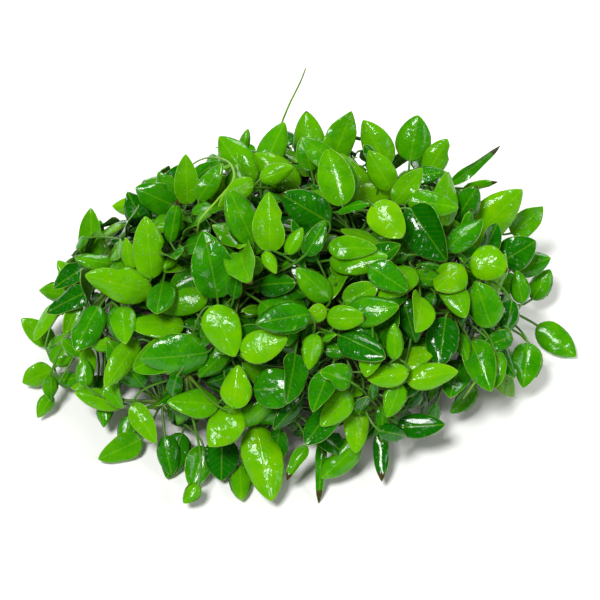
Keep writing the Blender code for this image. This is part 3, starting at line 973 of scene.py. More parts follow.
@dataclass(frozen=True)
class LeafTopFinish:
    """Waxy upper skin of a leaf under a film of water.

    It is saturated green with a hard clear gloss, a pale thin rim, a grooved lighter midrib, faint side
    veins that run forward, and small beads of wet that catch the light, with a pale highlight painted on
    them. Fresh leaves are yellow-green, old ones deep green.
    """

    name: str = "wet_waxy_leaf"
    ages: tuple[tuple[float, str], ...] = ((0.0, "#6cb000"), (0.12, "#5eaa00"), (0.35, "#509f00"),
                                           (0.65, "#2b8400"), (1.0, "#0a6000"))
    rim: str = "#b9dc55"
    midrib: str = "#8fc81f"
    # The pale painted highlight on the beads.
    painted_glint: str = "#dff2c0"
    scorched: str = "#3f3a14"
    vein_spacing_mm: float = 1.9
    bead_mm: float = 1.9
    spray_mm: float = 0.75

    def material(self) -> bpy.types.Material:
        """Make the material.

        Returns:
            The material.
        """
        material, tree, shader = new_material(self.name)
        blade = add_node(tree, "ShaderNodeAttribute", attribute_name="blade")
        place = add_node(tree, "ShaderNodeSeparateXYZ", {0: blade.outputs["Vector"]})
        along, across, edge = place.outputs
        age = add_node(tree, "ShaderNodeAttribute", attribute_name="age").outputs["Fac"]
        seed = add_node(tree, "ShaderNodeAttribute", attribute_name="seed").outputs["Fac"]
        spot = add_node(tree, "ShaderNodeTexCoord").outputs["Object"]
        away = add_node(tree, "ShaderNodeMath", {0: across}, operation="ABSOLUTE")

        # Cloudy variation of the green, about 5 mm across, and a shade of its own for each leaf.
        cloud = add_node(tree, "ShaderNodeTexNoise", {"Vector": spot, "Scale": 200.0, "Detail": 3.0})
        shade = add_node(tree, "ShaderNodeMath", {0: cloud.outputs["Fac"], 1: 0.62, 2: age},
                         operation="MULTIPLY_ADD")
        shade = add_node(tree, "ShaderNodeMath", {0: seed, 1: 0.16, 2: shade}, operation="MULTIPLY_ADD")
        shade = add_node(tree, "ShaderNodeMath", {0: shade, 1: 0.36}, operation="SUBTRACT")
        ramp = add_node(tree, "ShaderNodeValToRGB", {0: shade})
        for place_on, code in self.ages[2:]:
            ramp.color_ramp.elements.new(place_on)
        for element, (place_on, code) in zip(ramp.color_ramp.elements, self.ages):
            element.position = place_on
            element.color = srgb(code)

        # Side veins leave the midrib and sweep towards the tip.
        sweep = add_node(tree, "ShaderNodeMath", {0: away, 1: -0.75, 2: along}, operation="MULTIPLY_ADD")
        sweep = add_node(tree, "ShaderNodeMath", {0: sweep, 1: self.vein_spacing_mm}, operation="DIVIDE")
        sweep = add_node(tree, "ShaderNodeMath", {0: sweep, 1: 0.5}, operation="PINGPONG")
        vein = add_node(tree, "ShaderNodeMapRange", {0: sweep, 1: 0.02, 2: 0.16, 3: 1.0, 4: 0.0},
                        interpolation_type="SMOOTHSTEP")
        inner = add_node(tree, "ShaderNodeMapRange", {0: edge, 1: 0.3, 2: 1.4},
                         interpolation_type="SMOOTHSTEP")
        vein = add_node(tree, "ShaderNodeMath", {0: vein, 1: inner}, operation="MULTIPLY")
        groove = add_node(tree, "ShaderNodeMapRange", {0: away, 1: 0.08, 2: 0.42, 3: 1.0, 4: 0.0},
                          interpolation_type="SMOOTHSTEP")
        border = add_node(tree, "ShaderNodeMapRange", {0: edge, 1: 0.04, 2: 0.2, 3: 1.0, 4: 0.0},
                          interpolation_type="SMOOTHSTEP")

        # Beads of water: domes 0.6 to 1.5 mm wide in patches, each a random size.
        beads = []
        for cell_mm, least, widest, scale, low in (
                (self.bead_mm, 0.35, 0.42, 70.0, 0.44), (self.spray_mm, 0.2, 0.5, 110.0, 0.5)):
            cells = add_node(tree, "ShaderNodeTexVoronoi", {"Vector": spot, "Scale": 1 / (cell_mm * MM)})
            dice = add_node(tree, "ShaderNodeSeparateColor", {0: cells.outputs["Color"]})
            size = add_node(tree, "ShaderNodeMapRange",
                            {0: dice.outputs[0], 1: least, 2: 1.0, 3: 0.02, 4: widest})
            hill = add_node(tree, "ShaderNodeMath", {0: cells.outputs["Distance"], 1: size},
                            operation="DIVIDE")
            bead = add_node(tree, "ShaderNodeMapRange", {0: hill, 1: 0.15, 2: 1.0, 3: 1.0, 4: 0.0},
                            interpolation_type="SMOOTHSTEP")
            patch = add_node(tree, "ShaderNodeTexNoise", {"Vector": spot, "Scale": scale, "Detail": 1.0})
            patch = add_node(tree, "ShaderNodeMapRange", {0: patch.outputs["Fac"], 1: low, 2: low + 0.06})
            beads.append(add_node(tree, "ShaderNodeMath", {0: bead, 1: patch}, operation="MULTIPLY"))
        bead, spray = beads

        green = add_node(tree, "ShaderNodeMix", {0: 0.0, 6: ramp, 7: srgb(self.midrib)}, data_type="RGBA")
        faint = add_node(tree, "ShaderNodeMath", {0: vein, 1: 0.05}, operation="MULTIPLY")
        tree.links.new(faint.outputs[0], green.inputs[0])
        strong = add_node(tree, "ShaderNodeMath", {0: groove, 1: 0.2}, operation="MULTIPLY")
        green = add_node(tree, "ShaderNodeMix", {0: strong, 6: green, 7: srgb(self.midrib)}, data_type="RGBA")
        pale = add_node(tree, "ShaderNodeMath", {0: border, 1: 0.6}, operation="MULTIPLY")
        green = add_node(tree, "ShaderNodeMix", {0: pale, 6: green, 7: srgb(self.rim)}, data_type="RGBA")

        # Narrow leaves and a few others are scorched at the tip, with a ragged edge to the brown.
        dead = add_node(tree, "ShaderNodeAttribute", attribute_name="dead").outputs["Fac"]
        dead = add_node(tree, "ShaderNodeMath", {0: cloud.outputs["Fac"], 1: 2.4, 2: dead},
                        operation="MULTIPLY_ADD")
        dead = add_node(tree, "ShaderNodeMapRange", {0: dead, 1: 1.3, 2: 2.1},
                        interpolation_type="SMOOTHSTEP")
        green = add_node(tree, "ShaderNodeMix", {0: dead, 6: green, 7: srgb(self.scorched)}, data_type="RGBA")

        # Beads are painted with a pale highlight, and leaves deep in the mound are darker.
        wet = add_node(tree, "ShaderNodeMath", {0: bead, 1: spray}, operation="MAXIMUM")
        painted_glint = add_node(tree, "ShaderNodeMath", {0: wet, 1: 0.12}, operation="MULTIPLY")
        green = add_node(tree, "ShaderNodeMix", {0: painted_glint, 6: green, 7: srgb(self.painted_glint)}, data_type="RGBA")
        # Painted shade: leaves deep in the mound are darker.
        green = paint_deep_shade(tree, green)

        # Relief in millimetres: the groove of the midrib, the veins' furrows, a fine leathery grain, the
        # beads.
        grain = add_node(tree, "ShaderNodeTexNoise", {"Vector": spot, "Scale": 1500.0, "Detail": 2.0})
        relief = add_node(tree, "ShaderNodeMath", {0: grain.outputs["Fac"], 1: 0.07}, operation="MULTIPLY")
        pucker = add_node(tree, "ShaderNodeTexNoise", {"Vector": spot, "Scale": 330.0, "Detail": 1.5})
        for part, height in ((groove, -0.05), (vein, -0.012), (pucker, 0.7), (bead, 0.36), (spray, 0.2)):
            relief = add_node(tree, "ShaderNodeMath", {0: part, 1: height, 2: relief},
                              operation="MULTIPLY_ADD")
        bump = add_node(tree, "ShaderNodeBump", {"Height": relief, "Distance": MM, "Strength": 0.8})
        rough = add_node(tree, "ShaderNodeMapRange",
                         {0: cloud.outputs["Fac"], 1: 0.3, 2: 0.7, 3: 0.07, 4: 0.2})

        tree.links.new(green.outputs[0], shader.inputs["Base Color"])
        tree.links.new(rough.outputs[0], shader.inputs["Roughness"])
        tree.links.new(bump.outputs[0], shader.inputs["Normal"])
        # Older leaves hold more water, so they have more of the clear film.
        film = add_node(tree, "ShaderNodeMath", {0: age, 1: 0.65}, operation="MULTIPLY")
        tree.links.new(film.outputs[0], shader.inputs["Coat Weight"])
        shader.inputs["IOR"].default_value = 1.26
        shader.inputs["Coat Roughness"].default_value = 0.05
        shader.inputs["Coat IOR"].default_value = 1.33
        return material


@dataclass(frozen=True)
class LeafUnderFinish:
    """Matte lower skin of a leaf: paler and greyer green, faintly mottled."""

    name: str = "matte_leaf_underside"
    pale: str = "#7fae3e"
    deep: str = "#4f8a22"

    def material(self) -> bpy.types.Material:
        """Make the material.

        Returns:
            The material.
        """
        material, tree, shader = new_material(self.name)
        spot = add_node(tree, "ShaderNodeTexCoord").outputs["Object"]
        age = add_node(tree, "ShaderNodeAttribute", attribute_name="age").outputs["Fac"]
        mottle = add_node(tree, "ShaderNodeTexNoise", {"Vector": spot, "Scale": 480.0, "Detail": 4.0})
        shade = add_node(tree, "ShaderNodeMath", {0: mottle.outputs["Fac"], 1: 0.7, 2: age},
                         operation="MULTIPLY_ADD")
        shade = add_node(tree, "ShaderNodeMapRange", {0: shade, 1: 0.2, 2: 1.4})
        green = add_node(tree, "ShaderNodeMix", {0: shade, 6: srgb(self.pale), 7: srgb(self.deep)},
                         data_type="RGBA")
        # Painted shade: leaves deep in the mound are darker underneath too.
        green = paint_deep_shade(tree, green)
        bump = add_node(tree, "ShaderNodeBump", {"Height": mottle.outputs["Fac"], "Distance": 0.08 * MM})
        tree.links.new(green.outputs[0], shader.inputs["Base Color"])
        tree.links.new(bump.outputs[0], shader.inputs["Normal"])
        shader.inputs["Roughness"].default_value = 0.55
        shader.inputs["IOR"].default_value = 1.45
        return material


@dataclass(frozen=True)
class StemFinish:
    """Fleshy stem skin, from fresh green stalk to the olive and brown of an old rhizome, softly wet."""

    name: str
    fresh: str
    old: str
    scar: str
    roughness: float = 0.34

    def material(self) -> bpy.types.Material:
        """Make the material.

        Returns:
            The material.
        """
        material, tree, shader = new_material(self.name)
        spot = add_node(tree, "ShaderNodeTexCoord").outputs["Object"]
        wood = add_node(tree, "ShaderNodeAttribute", attribute_name="wood").outputs["Fac"]
        cloud = add_node(tree, "ShaderNodeTexNoise", {"Vector": spot, "Scale": 330.0, "Detail": 4.0})
        shade = add_node(tree, "ShaderNodeMath", {0: cloud.outputs["Fac"], 1: 0.6, 2: wood},
                         operation="MULTIPLY_ADD")
        shade = add_node(tree, "ShaderNodeMapRange", {0: shade, 1: 0.25, 2: 1.35})
        skin = add_node(tree, "ShaderNodeMix", {0: shade, 6: srgb(self.fresh), 7: srgb(self.old)},
                        data_type="RGBA")
        flecks = add_node(tree, "ShaderNodeTexNoise", {"Vector": spot, "Scale": 1500.0, "Detail": 2.0})
        flecks = add_node(tree, "ShaderNodeMapRange", {0: flecks.outputs["Fac"], 1: 0.56, 2: 0.72})
        flecks = add_node(tree, "ShaderNodeMath", {0: flecks, 1: wood}, operation="MULTIPLY")
        skin = add_node(tree, "ShaderNodeMix", {0: flecks, 6: skin, 7: srgb(self.scar)}, data_type="RGBA")
        # Painted shade: stems deep in the mound are darker.
        skin = paint_deep_shade(tree, skin)
        bump = add_node(tree, "ShaderNodeBump", {"Height": cloud.outputs["Fac"], "Distance": 0.15 * MM})
        tree.links.new(skin.outputs[0], shader.inputs["Base Color"])
        tree.links.new(bump.outputs[0], shader.inputs["Normal"])
        shader.inputs["Roughness"].default_value = self.roughness
        shader.inputs["IOR"].default_value = 1.42
        return material


@dataclass(frozen=True)
class StoneFinish:
    """Weathered dark river stone: reddish brown, slate-grey patches, mineral grain and a green bloom."""

    name: str = "weathered_brown_stone"
    brown: str = "#57392a"
    slate: str = "#3b3a36"
    bloom: str = "#33501c"

    def material(self) -> bpy.types.Material:
        """Make the material.

        Returns:
            The material.
        """
        material, tree, shader = new_material(self.name)
        spot = add_node(tree, "ShaderNodeTexCoord").outputs["Object"]
        broad = add_node(tree, "ShaderNodeTexNoise", {"Vector": spot, "Scale": 60.0, "Detail": 5.0})
        fine = add_node(tree, "ShaderNodeTexNoise", {"Vector": spot, "Scale": 700.0, "Detail": 5.0})
        pits = add_node(tree, "ShaderNodeTexVoronoi", {"Vector": spot, "Scale": 420.0})
        patch = add_node(tree, "ShaderNodeMapRange", {0: broad.outputs["Fac"], 1: 0.42, 2: 0.6})
        rock = add_node(tree, "ShaderNodeMix", {0: patch, 6: srgb(self.brown), 7: srgb(self.slate)},
                        data_type="RGBA")
        speck = add_node(tree, "ShaderNodeMapRange",
                         {0: fine.outputs["Fac"], 1: 0.3, 2: 0.75, 3: 0.55, 4: 1.6})
        rock = add_node(tree, "ShaderNodeVectorMath", {0: rock, 3: speck}, operation="SCALE")
        wet = add_node(tree, "ShaderNodeTexNoise", {"Vector": spot, "Scale": 110.0, "Detail": 4.0})
        green = add_node(tree, "ShaderNodeMapRange",
                         {0: wet.outputs["Fac"], 1: 0.5, 2: 0.68, 3: 0.0, 4: 0.65})
        rock = add_node(tree, "ShaderNodeMix", {0: green, 6: rock, 7: srgb(self.bloom)}, data_type="RGBA")
        relief = add_node(tree, "ShaderNodeMath",
                          {0: fine.outputs["Fac"], 1: 0.6, 2: pits.outputs["Distance"]},
                          operation="MULTIPLY_ADD")
        bump = add_node(tree, "ShaderNodeBump", {"Height": relief, "Distance": 0.5 * MM})
        tree.links.new(rock.outputs[2], shader.inputs["Base Color"])
        tree.links.new(bump.outputs[0], shader.inputs["Normal"])
        shader.inputs["Roughness"].default_value = 0.62
        return material


# ------------------------------------------------------------------------------------------ foliage


@dataclass
class Plan:
    """The points that a piece's leaves and stems grow from: one for each blade, and lines for the stems."""

    points: list[Vector] = field(default_factory=list)
    lines: list[tuple[int, int]] = field(default_factory=list)
    blades: list[bool] = field(default_factory=list)
    thick: list[float] = field(default_factory=list)
    wood: list[float] = field(default_factory=list)
    age: list[float] = field(default_factory=list)
    seed: list[float] = field(default_factory=list)
    aim: list[Vector] = field(default_factory=list)
    face: list[Vector] = field(default_factory=list)
    size: list[Vector] = field(default_factory=list)
    bend: list[Vector] = field(default_factory=list)
    ripple: list[Vector] = field(default_factory=list)
    bite: list[Vector] = field(default_factory=list)
    crown: list[float] = field(default_factory=list)
    scorch: list[float] = field(default_factory=list)
    small: list[int] = field(default_factory=list)

    def add_stem(self, path: Sequence[Vector], thick: Sequence[float], wood: Sequence[float], age: float,
                 seed: float) -> None:
        """Add the line of a stem.

        Args:
            path: its middle line.
            thick: its radius at each point.
            wood: how woody it is at each point.
            age: the age it shows.
            seed: its own random number.
        """
        first = len(self.points)
        for point, radius, woody in zip(path, thick, wood):
            self.add_point(point, False, radius, woody, age, seed)
        self.lines += [(first + i, first + i + 1) for i in range(len(path) - 1)]

    def add_point(self, point: Vector, blade: bool, thick: float, wood: float, age: float,
                  seed: float) -> None:
        """Add a point with nothing yet said of a blade there.

        Args:
            point: the point.
            blade: whether a blade stands on it.
            thick: the stem's thickness there.
            wood: how woody it is, from 0 to 1.
            age: the leaf's age, from 0 to 1.
            seed: the leaf's own random number.
        """
        self.points.append(point)
        self.blades.append(blade)
        self.thick.append(thick)
        self.wood.append(wood)
        self.age.append(age)
        self.seed.append(seed)
        self.crown.append(0.0)
        self.scorch.append(0.0)
        self.small.append(0)
        for column in (self.aim, self.face, self.size, self.bend, self.ripple, self.bite):
            column.append(Vector())

    def add_leaf(self, leaf: Leaf, shoot: Shoot, small: bool, dice: random.Random) -> None:
        """Add a leaf: its stalk, the midrib under its blade, and its blade.

        Args:
            leaf: the leaf.
            shoot: the shoot it grows from.
            small: whether it is one of the many small ones, which have a plainer mesh.
            dice: the random numbers.
        """
        seed = dice.random()
        narrow = leaf.width < 0.42 * leaf.length
        dome = dice.uniform(0.0, 0.05)
        wave = dice.uniform(0.0, 0.24) + (0.2 if narrow else 0.0)
        twist = dice.uniform(-0.55, 0.55) + (0.7 if narrow else 0.0)
        bitten = dice.random() < 0.13
        self.add_point(leaf.base, True, 0.0, 0.0, leaf.age, seed)
        self.aim[-1] = leaf.aim
        self.face[-1] = leaf.face
        self.small[-1] = small
        self.size[-1] = Vector((leaf.length, leaf.width / 2, leaf.stalk_thick / 2))
        arch = leaf.arch + dice.uniform(-0.05, 0.14)
        self.bend[-1] = Vector((arch, dice.uniform(0.02, 0.13), dome))
        self.crown[-1] = dice.uniform(0.05, 0.5) if dice.random() < 0.75 else dice.uniform(-0.5, -0.1)
        self.ripple[-1] = Vector((wave, dice.uniform(0, 2 * math.pi), twist))
        if narrow or dice.random() < 0.08:
            self.scorch[-1] = (0.2 if narrow else dice.uniform(0.03, 0.1)) * leaf.length
        self.bite[-1] = Vector((dice.uniform(0.35, 0.85), dice.uniform(0.2, 0.45) if bitten else 0.0,
                                dice.choice((-1, 1))))
        out = (leaf.root - shoot.top)
        out = (out - shoot.axis * out.dot(shoot.axis)).normalized()
        start = leaf.root - out * (shoot.tip_radius * 0.8) - shoot.axis * 0.8
        way = leaf.base - leaf.root
        leave = (way.normalized() + shoot.axis * 0.5 + out * 0.3).normalized() * way.length
        arrive = (way.normalized() + leaf.aim).normalized() * way.length
        path = []
        thick = []
        steps = 6 if small else 10
        for i in range(steps):
            t = i / steps
            path.append(start * (2 * t ** 3 - 3 * t ** 2 + 1) + leave * (t ** 3 - 2 * t ** 2 + t)
                        + leaf.base * (3 * t ** 2 - 2 * t ** 3) + arrive * (t ** 3 - t ** 2))
            thick.append(0.42 + 0.6 * max(0.0, 1 - t * 3.2) ** 1.5)
        for t in (0.02, 0.4, 0.8) if small else (0.02, 0.12, 0.3, 0.5, 0.7, 0.86):
            radius = 0.4 * (1 - t) ** 0.8 + 0.06
            spine = leaf.base + leaf.aim * (leaf.length * t) - leaf.face * (arch * leaf.length * t * t)
            path.append(spine - leaf.face * (radius * min(1.0, t * 9)))
            thick.append(radius)
        wood = [0.25 * max(0.0, 1 - i / 4) for i in range(len(path))]
        self.add_stem(path, thick, wood, leaf.age, seed)

    def mesh(self, name: str) -> bpy.types.Mesh:
        """Turn the plan into a mesh of points and lines in metres, with its columns as attributes.

        Args:
            name: the mesh's name.

        Returns:
            The mesh.
        """
        mesh = bpy.data.meshes.new(name)
        mesh.from_pydata([p * MM for p in self.points], self.lines, [])
        plain = {"is_blade": ("BOOLEAN", self.blades), "thick": ("FLOAT", np.array(self.thick) * MM),
                 "wood": ("FLOAT", self.wood), "age": ("FLOAT", self.age), "seed": ("FLOAT", self.seed),
                 "crown": ("FLOAT", self.crown), "scorch": ("FLOAT", self.scorch),
                 "small": ("INT", [int(small) for small in self.small])}
        for key, (kind, column) in plain.items():
            mesh.attributes.new(key, kind, "POINT").data.foreach_set("value", list(column))
        vectors = {"base": [p * MM for p in self.points], "aim": self.aim, "face": self.face,
                   "size": [s * MM for s in self.size], "bend": self.bend, "ripple": self.ripple,
                   "bite": self.bite}
        for key, column in vectors.items():
            flat = np.array([tuple(v) for v in column], dtype=np.float32).ravel()
            mesh.attributes.new(key, "FLOAT_VECTOR", "POINT").data.foreach_set("vector", flat)
        return mesh


class FoliageTree:
    """The Geometry Nodes tree that grows a piece's blades and stems on its plan.

    Each blade is a grid, set on its point and then shaped by its leaf's numbers: an outline with a round
    shoulder and a pointed tip, two domed halves, an arch, a ripple, a twist and sometimes a bitten notch.
    """

    shoulder = 0.5
    taper = 0.76

    def __init__(self, top: bpy.types.Material, under: bpy.types.Material, stem: bpy.types.Material) -> None:
        """Build the tree.

        Args:
            top: the finish of the blades' upper side.
            under: the finish of their lower side.
            stem: the finish of the stems.
        """
        self.tree = bpy.data.node_groups.new("foliage", "GeometryNodeTree")
        face = self.tree.interface
        face.new_socket("Geometry", in_out="OUTPUT", socket_type="NodeSocketGeometry")
        face.new_socket("Plan", in_out="INPUT", socket_type="NodeSocketGeometry")
        sizes = {"Steps Along": ("NodeSocketInt", 14), "Steps Across": ("NodeSocketInt", 9),
                 "Small Steps Along": ("NodeSocketInt", 9), "Small Steps Across": ("NodeSocketInt", 5),
                 "Blade Thickness": ("NodeSocketFloat", Leaf.blade_thick * MM),
                 "Stem Sides": ("NodeSocketInt", 6),
                 "Mound Size": ("NodeSocketVector", tuple(s * MM for s in Mound.skin))}
        self.inputs: dict[str, tuple[str, int | float | tuple[float, ...]]] = {}
        for name, (kind, value) in sizes.items():
            socket = face.new_socket(name, in_out="INPUT", socket_type=kind)
            self.inputs[name] = (socket.identifier, value)
        given = add_node(self.tree, "NodeGroupInput")
        chosen = add_node(self.tree, "GeometryNodeInputNamedAttribute", {"Name": "is_blade"},
                          data_type="BOOLEAN")
        parted = add_node(self.tree, "GeometryNodeSeparateGeometry",
                          {"Geometry": given.outputs["Plan"], "Selection": chosen.outputs[0]}, domain="POINT")
        blades = self.blades(parted.outputs[0], given, top, under)
        stems = self.stems(parted.outputs[1], given, stem)
        joined = add_node(self.tree, "GeometryNodeJoinGeometry")
        for part in (stems, blades):
            self.tree.links.new(part, joined.inputs[0])
        whole = add_node(self.tree, "GeometryNodeRealizeInstances", {0: joined})
        # How deep in the mound each spot is: 0 at its skin, 1 far inside. The finishes paint shade with it,
        # darker the deeper a spot is.
        spot = add_node(self.tree, "ShaderNodeVectorMath", {
            0: add_node(self.tree, "GeometryNodeInputPosition"),
            1: given.outputs["Mound Size"]}, operation="DIVIDE")
        far = add_node(self.tree, "ShaderNodeVectorMath", {0: spot}, operation="LENGTH")
        depth = add_node(self.tree, "ShaderNodeMapRange", {0: far.outputs["Value"], 1: 1.0, 2: 0.72})
        marked = add_node(self.tree, "GeometryNodeStoreNamedAttribute",
                          {"Geometry": whole, "Name": "depth", "Value": depth},
                          data_type="FLOAT", domain="POINT")
        smooth = add_node(self.tree, "GeometryNodeSetShadeSmooth", {0: marked})
        add_node(self.tree, "NodeGroupOutput", {0: smooth})

    def vector(self, name: str) -> bpy.types.Node:
        """Read a leaf's named vector."""
        return add_node(self.tree, "GeometryNodeInputNamedAttribute", {"Name": name},
                        data_type="FLOAT_VECTOR")

    def blades(self, points: bpy.types.NodeSocket, given: bpy.types.Node, top: bpy.types.Material,
               under: bpy.types.Material) -> bpy.types.NodeSocket:
        """Grow the blades.

        Args:
            points: the plan's blade points.
            given: the tree's inputs.
            top: the finish of their upper side.
            under: the finish of their lower side.

        Returns:
            The blades, as one closed mesh each.
        """
        tree = self.tree
        spot = add_node(tree, "ShaderNodeSeparateXYZ", {0: add_node(tree, "GeometryNodeInputPosition")})
        # Rows crowd towards both ends of the blade and columns towards its rim.
        turn = add_node(tree, "ShaderNodeMath", {0: spot.outputs[0], 1: math.pi}, operation="MULTIPLY")
        turn = add_node(tree, "ShaderNodeMath", {0: turn}, operation="SINE")
        row = add_node(tree, "ShaderNodeMath", {0: turn, 1: 0.5, 2: 0.5}, operation="MULTIPLY_ADD")
        column = add_node(tree, "ShaderNodeMath", {0: spot.outputs[1], 1: math.pi}, operation="MULTIPLY")
        column = add_node(tree, "ShaderNodeMath", {0: column}, operation="SINE")
        both = add_node(tree, "ShaderNodeCombineXYZ", {0: row, 1: column})
        # The many small leaves take the second grid, of a few dozen faces.
        grids = add_node(tree, "GeometryNodeGeometryToInstance")
        for prefix in ("Small ", ""):
            grid = add_node(tree, "GeometryNodeMeshGrid", {
                "Size X": 1.0, "Size Y": 1.0, "Vertices X": given.outputs[prefix + "Steps Along"],
                "Vertices Y": given.outputs[prefix + "Steps Across"]})
            marked = add_node(tree, "GeometryNodeStoreNamedAttribute",
                              {"Geometry": grid.outputs["Mesh"], "Name": "place", "Value": both},
                              data_type="FLOAT_VECTOR", domain="POINT")
            tree.links.new(marked.outputs[0], grids.inputs[0])
        which = add_node(tree, "GeometryNodeInputNamedAttribute", {"Name": "small"}, data_type="INT")
        copies = add_node(tree, "GeometryNodeInstanceOnPoints", {
            "Points": points, "Instance": grids, "Pick Instance": True, "Instance Index": which.outputs[0]})
        flat = add_node(tree, "GeometryNodeRealizeInstances", {0: copies})

        place = add_node(tree, "ShaderNodeSeparateXYZ", {0: self.vector("place")})
        u, v = place.outputs[0], place.outputs[1]
        size = add_node(tree, "ShaderNodeSeparateXYZ", {0: self.vector("size")})
        length, half_width, neck = size.outputs
        bend = add_node(tree, "ShaderNodeSeparateXYZ", {0: self.vector("bend")})
        arch, fold, dome = bend.outputs
        ripple = add_node(tree, "ShaderNodeSeparateXYZ", {0: self.vector("ripple")})
        wave, phase, twist = ripple.outputs
        bite = add_node(tree, "ShaderNodeSeparateXYZ", {0: self.vector("bite")})

        # The outline: half the blade's width at each step.
        widest = self.shoulder / (self.shoulder + self.taper)
        start = add_node(tree, "ShaderNodeMath", {0: u, 1: widest}, operation="DIVIDE")
        start = add_node(tree, "ShaderNodeMath", {0: start, 1: self.shoulder}, operation="POWER")
        left = add_node(tree, "ShaderNodeMath", {0: 1.0, 1: u}, operation="SUBTRACT", use_clamp=True)
        end = add_node(tree, "ShaderNodeMath", {0: left, 1: 1 - widest}, operation="DIVIDE")
        end = add_node(tree, "ShaderNodeMath", {0: end, 1: self.taper}, operation="POWER")
        half = add_node(tree, "ShaderNodeMath", {0: start, 1: end}, operation="MULTIPLY")
        half = add_node(tree, "ShaderNodeMath", {0: half, 1: half_width}, operation="MULTIPLY")
        stub = add_node(tree, "ShaderNodeMath", {0: neck, 1: left}, operation="MULTIPLY")
        half = add_node(tree, "ShaderNodeMath", {0: half, 1: stub}, operation="MAXIMUM")

        # A bitten notch draws the rim in on one side.
        near = add_node(tree, "ShaderNodeMath", {0: u, 1: bite.outputs[0]}, operation="SUBTRACT")
        near = add_node(tree, "ShaderNodeMath", {0: near, 1: 0.1}, operation="DIVIDE")
        near = add_node(tree, "ShaderNodeMath", {0: near, 1: near}, operation="MULTIPLY")
        near = add_node(tree, "ShaderNodeMath", {0: 1.0, 1: near}, operation="SUBTRACT", use_clamp=True)
        side = add_node(tree, "ShaderNodeMath", {0: v, 1: bite.outputs[2]}, operation="MULTIPLY",
                        use_clamp=True)
        notch = add_node(tree, "ShaderNodeMath", {0: near, 1: side}, operation="MULTIPLY")
        notch = add_node(tree, "ShaderNodeMath", {0: notch, 1: bite.outputs[1]}, operation="MULTIPLY")
        kept = add_node(tree, "ShaderNodeMath", {0: 1.0, 1: notch}, operation="SUBTRACT")
        across = add_node(tree, "ShaderNodeMath", {0: v, 1: half}, operation="MULTIPLY")
        across = add_node(tree, "ShaderNodeMath", {0: across, 1: kept}, operation="MULTIPLY")

        # The rise off the flat: the fold at the midrib, two domed halves, and a ripple that grows to the rim.
        out = add_node(tree, "ShaderNodeMath", {0: v}, operation="ABSOLUTE")
        hump = add_node(tree, "ShaderNodeMath", {0: out, 1: 2.0, 2: -1.0}, operation="MULTIPLY_ADD")
        hump = add_node(tree, "ShaderNodeMath", {0: hump, 1: hump}, operation="MULTIPLY")
        hump = add_node(tree, "ShaderNodeMath", {0: 1.0, 1: hump}, operation="SUBTRACT")
        rise = add_node(tree, "ShaderNodeMath", {0: hump, 1: dome}, operation="MULTIPLY")
        rise = add_node(tree, "ShaderNodeMath", {0: out, 1: fold, 2: rise}, operation="MULTIPLY_ADD")
        beat = add_node(tree, "ShaderNodeMath", {0: v, 1: 1.3, 2: phase}, operation="MULTIPLY_ADD")
        beat = add_node(tree, "ShaderNodeMath", {0: u, 1: 9.0, 2: beat}, operation="MULTIPLY_ADD")
        beat = add_node(tree, "ShaderNodeMath", {0: beat}, operation="SINE")
        beat = add_node(tree, "ShaderNodeMath", {0: beat, 1: wave}, operation="MULTIPLY")
        rim = add_node(tree, "ShaderNodeMath", {0: v, 1: v}, operation="MULTIPLY")
        rise = add_node(tree, "ShaderNodeMath", {0: beat, 1: rim, 2: rise}, operation="MULTIPLY_ADD")
        crown = add_node(tree, "GeometryNodeInputNamedAttribute", {"Name": "crown"}, data_type="FLOAT")
        crown = add_node(tree, "ShaderNodeMath", {0: crown.outputs[0], 1: rim}, operation="MULTIPLY")
        rise = add_node(tree, "ShaderNodeMath", {0: rise, 1: crown}, operation="SUBTRACT")
        rise = add_node(tree, "ShaderNodeMath", {0: rise, 1: half}, operation="MULTIPLY")

        # The flesh is thickest at the midrib and thins to nothing at the rim and both ends.
        ends = add_node(tree, "ShaderNodeMath", {0: u, 1: left}, operation="MULTIPLY")
        ends = add_node(tree, "ShaderNodeMath", {0: ends, 1: 9.0}, operation="MULTIPLY", use_clamp=True)
        flesh = add_node(tree, "ShaderNodeMath", {0: 1.0, 1: rim}, operation="SUBTRACT", use_clamp=True)
        flesh = add_node(tree, "ShaderNodeMath", {0: flesh, 1: ends}, operation="MULTIPLY")
        flesh = add_node(tree, "ShaderNodeMath", {0: flesh, 1: 0.5}, operation="POWER")
        flesh = add_node(tree, "ShaderNodeMath", {0: flesh, 1: given.outputs["Blade Thickness"]},
                         operation="MULTIPLY")
        flesh = add_node(tree, "ShaderNodeMath", {0: flesh, 1: 0.5}, operation="MULTIPLY")

        # The leaf's own directions, with the twist that grows along it.
        aim = self.vector("aim")
        angle = add_node(tree, "ShaderNodeMath", {0: twist, 1: u}, operation="MULTIPLY")
        outward = add_node(tree, "ShaderNodeVectorRotate", {
            "Vector": self.vector("face"), "Center": (0.0, 0.0, 0.0), "Axis": aim, "Angle": angle})
        sideways = add_node(tree, "ShaderNodeVectorMath", {0: aim, 1: outward}, operation="CROSS_PRODUCT")
        run = add_node(tree, "ShaderNodeMath", {0: length, 1: u}, operation="MULTIPLY")
        drop = add_node(tree, "ShaderNodeMath", {0: run, 1: u}, operation="MULTIPLY")
        drop = add_node(tree, "ShaderNodeMath", {0: drop, 1: arch}, operation="MULTIPLY")
        spine = add_node(tree, "ShaderNodeVectorMath", {0: aim, 3: run}, operation="SCALE")
        spine = add_node(tree, "ShaderNodeVectorMath", {0: spine, 1: self.vector("base")}, operation="ADD")
        sag = add_node(tree, "ShaderNodeVectorMath", {0: self.vector("face"), 3: drop}, operation="SCALE")
        spine = add_node(tree, "ShaderNodeVectorMath", {0: spine, 1: sag}, operation="SUBTRACT")
        wide = add_node(tree, "ShaderNodeVectorMath", {0: sideways, 3: across}, operation="SCALE")
        spine = add_node(tree, "ShaderNodeVectorMath", {0: spine, 1: wide}, operation="ADD")

